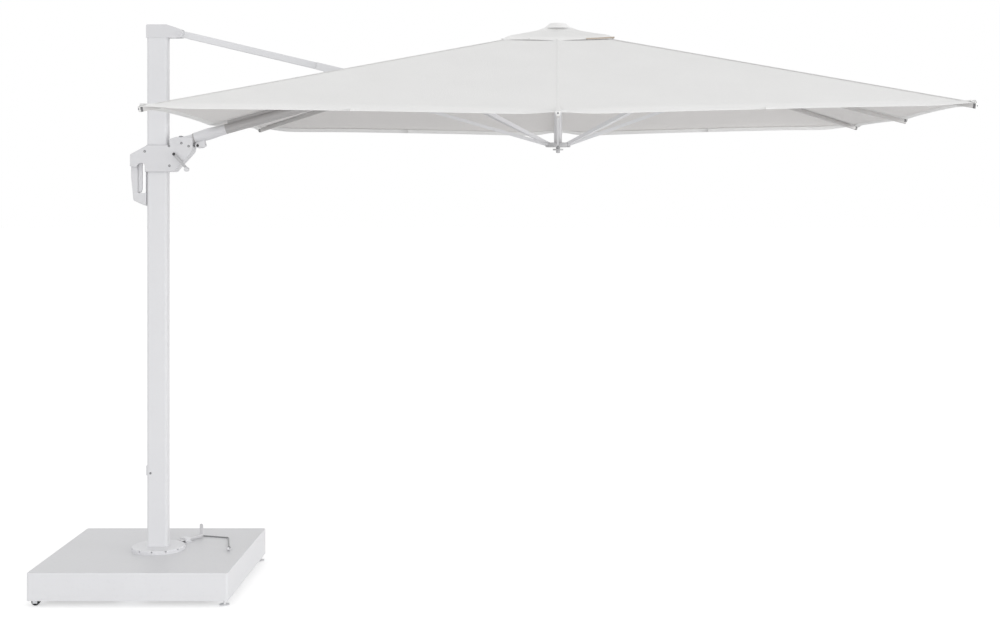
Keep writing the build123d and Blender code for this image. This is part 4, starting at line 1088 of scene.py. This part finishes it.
class PARASOL_OT_housing_trim(PieceOperator, bpy.types.Operator):
    """Screws and plug of the slider, trim of the grip, crank and pull rod, and the mast's stop screw"""

    bl_idname = "parasol.housing_trim"
    bl_label = "Housing trim"

    def execute(self, context):
        sizes = context.scene.parasol_fasteners
        low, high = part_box("slider_shell_front")
        self.shell_screws(sizes, low[1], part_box("slider_shell_rear")[1][1])
        plug = sizes.plug
        dome = [(-0.0008, 0.0), (-0.0008, plug), (0.001, plug), (0.0035, plug * 0.8), (0.005, plug * 0.4),
                (0.0053, 0.0)]
        place = (SLIDER_PIN[0] + 0.012, low[1] + 0.011, high[2])
        fitting("top_plug", dome, place, (0, 0, 1), 24, "slider", "moulded_grey")
        self.grip(sizes)

        shaft = JOINTS["crank_turn"]["pos_m"]
        cap = [(-0.001, 0.0), (-0.001, 0.0072), (0.0016, 0.0072), (0.003, 0.0056), (0.0034, 0.0)]
        place = (shaft[0], low[1] - 0.016, shaft[2])
        fitting("crank_cap", cap, place, (0, -1, 0), 24, "crank", "screw_black")

        rod = vertices("release_rod")
        end = rod[rod[:, 1] < rod[:, 1].min() + 0.004].mean(axis=0)
        knob = [(-0.0285, 0.0), (-0.0285, 0.006), (-0.026, 0.0094), (-0.002, 0.0098), (0.0006, 0.0080),
                (0.0016, 0.0)]
        fitting("rod_knob", knob, end, (0.006, -0.028, 0.008), 24, "lock", "moulded_white")

        stop_low, stop_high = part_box("lower_stop")
        head = [(-0.002, 0.0), (-0.002, 0.0055), (0.0012, 0.0055), (0.0024, 0.004), (0.0027, 0.0)]
        place = (stop_high[0] + 0.019, MAST_FRONT - 0.0002, stop_low[2] + 0.015)
        fitting("stop_screw", head, place, (0, -1, 0), 16, "mast", "screw_grey")
        return {"FINISHED"}

    def shell_screws(self, sizes, front, rear):
        """Five recessed screws on each side of the slider's housing."""
        head, recess = sizes.screw, sizes.recess
        ring = [(-0.004, 0.0), (-0.004, recess), (0.0003, recess), (0.0006, head + 0.0006), (0.0, head),
                (0.0, head * 0.45), (-0.0012, head * 0.4), (-0.0012, 0.0)]
        for name, y, way in (("front", front, -1.0), ("rear", rear, 1.0)):
            parts = []
            for dx, dz in SHELL_SCREWS:
                centre = (SLIDER_PIN[0] + dx, y + way * 0.0002, SLIDER_PIN[2] + dz)
                parts.append(turned(ring, centre, (0, way, 0), 16))
            screws = make_piece("shell_screws_" + name, *merged(parts))
            finish_piece(screws, "slider", material("screw_grey"))

    def grip(self, sizes):
        """Neck at the start of the grip sleeve, and a boss with a pin on each side of the tilt latch."""
        slope = np.array([cos(BOOM_SLOPE), 0, sin(BOOM_SLOPE)])
        normal = np.array([-sin(BOOM_SLOPE), 0, cos(BOOM_SLOPE)])
        sleeve = vertices("grip_sleeve") - SLIDER_PIN
        upper = sleeve[sleeve @ normal > 0]
        start = (upper @ slope).min()
        r = (upper[upper @ slope < start + 0.004] @ normal).max()
        neck = [(start - 0.032, 0.0), (start - 0.032, r * 0.70), (start - 0.026, r * 0.78),
                (start - 0.010, r * 0.88), (start + 0.0015, r * 0.95), (start + 0.0015, 0.0)]
        fitting("grip_neck", neck, SLIDER_PIN, slope, 40, "boom", "moulded_grip")
        centre = SLIDER_PIN + slope * 0.082 - normal * 0.042
        boss = sizes.boss
        rim = [(-0.003, 0.0), (-0.003, boss), (0.0008, boss), (0.0016, boss - 0.001), (0.0016, boss * 0.66),
               (0.0002, boss * 0.6), (0.0002, 0.0)]
        pin = [(-0.002, 0.0), (-0.002, boss * 0.56), (0.001, boss * 0.56), (0.001, 0.0)]
        for name, way in (("front", -1.0), ("rear", 1.0)):
            at, axis = centre + np.array([0, way * 0.017, 0]), (0, way, 0)
            fitting("latch_boss_" + name, rim, at, axis, 28, "boom", "moulded_white")
            fitting("latch_pin_" + name, pin, at, axis, 20, "boom", "screw_black")


class PARASOL_OT_strut_feet(PieceOperator, bpy.types.Operator):
    """Black end fittings of the struts at the runner"""

    bl_idname = "parasol.strut_feet"
    bl_label = "Strut feet"

    def execute(self, context):
        for rib in RIBS:
            points = vertices("strut_" + rib)
            reach = (points[:, :2] - HUB) @ ray_of(rib)
            foot = points[reach < reach.min() + 0.016].mean(0)
            head = points[reach > reach.max() - 0.016].mean(0)
            ahead = unit(head - foot)
            across = across_of(rib)
            t = np.linspace(0, 1, 8)
            swell = (1 - 0.12 * t**3)[:, None]
            path = foot + ahead * (0.003 + 0.013 * t)[:, None]
            shell = carried(rounded_bar(*STRUT_CAP), path, across * swell, np.cross(ahead, across) * swell)
            cap = make_piece("strut_foot_" + rib, *shell)
            finish_piece(cap, "strut_" + rib, material("screw_black"))
        return {"FINISHED"}


FINISHES = {
    # the base cover carries painted light: a raised colour and painted shade on its top
    "base_coat": ["base_cover"],
    "powder_coat_white": ["base_flange", "mast_foot", "lock_guide", "lower_stop"],
    "powder_coat_tube": [
        "mast_tube", "tie_tube", "tie_eye", "tie_fork", "tilt_collar", "boom_knuckle", "hub_tube"],
    "boom_coat": ["boom_tube", "boom_rail", "boom_cradle", "boom_head"],
    "finial_white": ["finial"],
    "trigger_grey": ["release_trigger"],
    "runner_grey": ["runner"],
    "moulded_white": [
        "mast_cap", "slider_shell_front", "slider_shell_rear", "crank_knob", "crown", "head_pin", "boom_pin",
        "tilt_button"],
    "moulded_grip": ["grip_sleeve"],
    "moulded_grey": ["swivel_bushes", "slide_bushes"],
    "foot_grey": ["levelling_foot_front", "levelling_foot_rear"],
    "black_tyre": ["wheel_front", "wheel_rear"],
    "black_coat": ["release_rod"],
    "crank_coat": ["crank_handle"],
    "concrete": ["ballast_slabs"],
    "zinc": ["base_frame", "flange_bolts", "swivel_post", "wheel_brackets", "trigger_pin"],
    "lock_grey": ["lock_plate"],
}


class PARASOL_OT_finishes(PieceOperator, bpy.types.Operator):
    """Gives every carried-over solid its finish"""

    bl_idname = "parasol.finishes"
    bl_label = "Finishes"

    def execute(self, context):
        for finish, names in FINISHES.items():
            for name in names:
                self.assign(name, finish)
        for rib in RIBS:
            self.assign("strut_" + rib, "powder_coat_tube")
            if rib != "boom":
                # the ribs take a mid grey as painted shade
                self.assign("rib_" + rib, "rib_coat")
        return {"FINISHED"}

    def assign(self, name, finish):
        """Puts one finish on a solid."""
        slots = NODES[name].data.materials
        slots.clear()
        slots.append(material(finish))


FLOOR_SIZE, FLOOR_GLOW = 60.0, 0.52
LAMP_SIZE = 3.6
CAMERA_SHIFT = (-0.058, -0.135)


class PARASOL_OT_studio(PieceOperator, bpy.types.Operator):
    """Pale floor, even sky, soft lamps and the camera"""

    bl_idname = "parasol.studio"
    bl_label = "Studio"

    def execute(self, context):
        settings = context.scene.parasol_studio
        self.floor(settings)
        self.sky(settings)
        self.lamps(settings)
        self.camera(context, settings)
        context.scene.view_settings.view_transform = "Standard"
        return {"FINISHED"}

    def floor(self, settings):
        """A pale floor that glows a little for the camera and in reflections, and keeps the shadows."""
        size = FLOOR_SIZE
        points = [(-size, -size, 0), (size, -size, 0), (size, size, 0), (-size, size, 0)]
        floor = make_piece("floor", points, [[0, 1, 2, 3]], smooth=False)
        surface, tree, shader = new_material("white_floor")
        shader.inputs["Base Color"].default_value = (*[settings.floor] * 3, 1)
        shader.inputs["Roughness"].default_value = 0.9
        shader.inputs["Specular IOR Level"].default_value = 0.0
        ray = add_node(tree, "LightPath").outputs
        seen = math(tree, "ADD", ray["Is Camera Ray"], ray["Is Glossy Ray"], clamp=True)
        glow = add_node(tree, "Emission", {"Strength": math(tree, "MULTIPLY", seen, FLOOR_GLOW)})
        both = add_node(tree, "AddShader", {0: shader.outputs[0], 1: glow.outputs[0]})
        feed(tree, tree.nodes["Material Output"].inputs["Surface"], both.outputs[0])
        floor.data.materials.append(surface)

    def sky(self, settings):
        """White for the camera, glossy and transmission rays; elsewhere it dims towards the zenith."""
        world = bpy.data.worlds.new("sky")
        world.use_nodes = True
        bpy.context.scene.world = world
        tree = world.node_tree
        back = tree.nodes["Background"]
        back.inputs["Color"].default_value = (1, 1, 1, 1)
        ray = add_node(tree, "LightPath").outputs
        seen = math(tree, "ADD", ray["Is Camera Ray"], ray["Is Glossy Ray"], clamp=True)
        seen = math(tree, "MAXIMUM", seen, ray["Is Transmission Ray"])
        way = add_node(tree, "TexCoord").outputs["Generated"]
        rise = add_node(tree, "SeparateXYZ", {0: way}).outputs["Z"]
        even = ramp(tree, rise, 0.0, 0.9, settings.world, settings.world * settings.zenith)
        rest = math(tree, "MULTIPLY", math(tree, "SUBTRACT", 1.0, seen), even)
        feed(tree, back.inputs["Strength"], math(tree, "ADD", seen, rest))

    def lamps(self, settings):
        """Two wide round lamps."""
        places = [
            ("key_lamp", (0.6, -7.5, 1.1), (1.2, 0.0, 1.2), settings.key),
            ("side_lamp", (8.5, -2.0, 2.2), (1.6, 0.0, 1.5), settings.side),
        ]
        for name, place, target, power in places:
            data = bpy.data.lights.new(name, "AREA")
            data.shape = "DISK"
            data.size = LAMP_SIZE
            data.energy = power
            lamp = bpy.data.objects.new(name, data)
            bpy.context.scene.collection.objects.link(lamp)
            lamp.location = place
            turn = (Vector(target) - lamp.location).to_track_quat("-Z", "Y")
            lamp.rotation_euler = turn.to_euler()

    def camera(self, context, settings):
        """A level camera in front of the parasol."""
        data = bpy.data.cameras.new("camera")
        data.lens = settings.lens
        data.sensor_width = 36.0
        data.shift_x, data.shift_y = CAMERA_SHIFT
        data.clip_end = 200
        camera = bpy.data.objects.new("camera", data)
        context.scene.collection.objects.link(camera)
        camera.location = (HUB[0], -settings.camera_distance, settings.camera_height)
        camera.rotation_euler = (pi / 2, 0, 0)
        context.scene.camera = camera


PIECES = (
    "finishes", "main_canopy", "arm_slot", "vent_cap", "tip_pockets", "housing_trim", "strut_feet", "studio")


class PARASOL_PT_panel(bpy.types.Panel):
    """Lists the sizes, the colours and one button for each group of pieces"""

    bl_label = "Parasol"
    bl_idname = "PARASOL_PT_panel"
    bl_space_type = "VIEW_3D"
    bl_region_type = "UI"
    bl_category = "Parasol"

    def draw(self, context):
        for group in ("parasol_canopy", "parasol_fasteners", "parasol_colours", "parasol_studio"):
            settings = getattr(context.scene, group)
            box = self.layout.box()
            for name in settings.bl_rna.properties.keys():
                if name not in ("rna_type", "name"):
                    box.prop(settings, name)
        for name in PIECES:
            self.layout.operator("parasol." + name)


GROUP_PROPERTIES = {
    "parasol_canopy": CanopySizes,
    "parasol_fasteners": FastenerSizes,
    "parasol_colours": FinishColours,
    "parasol_studio": StudioSettings,
}
CLASSES = (
    CanopySizes, FastenerSizes, FinishColours, StudioSettings, PARASOL_OT_finishes, PARASOL_OT_main_canopy,
    PARASOL_OT_arm_slot, PARASOL_OT_vent_cap, PARASOL_OT_tip_pockets, PARASOL_OT_housing_trim,
    PARASOL_OT_strut_feet, PARASOL_OT_studio, PARASOL_PT_panel)


def register():
    """Registers the classes and hangs the settings on the scene."""
    for cls in CLASSES:
        bpy.utils.register_class(cls)
    for name, group in GROUP_PROPERTIES.items():
        setattr(bpy.types.Scene, name, PointerProperty(type=group))


def unregister():
    """Takes off what register put on."""
    for name in GROUP_PROPERTIES:
        delattr(bpy.types.Scene, name)
    for cls in reversed(CLASSES):
        bpy.utils.unregister_class(cls)


def main():
    """Makes every piece in order."""
    register()
    for name in PIECES:
        getattr(bpy.ops.parasol, name)()


if __name__ == "__main__":
    main()
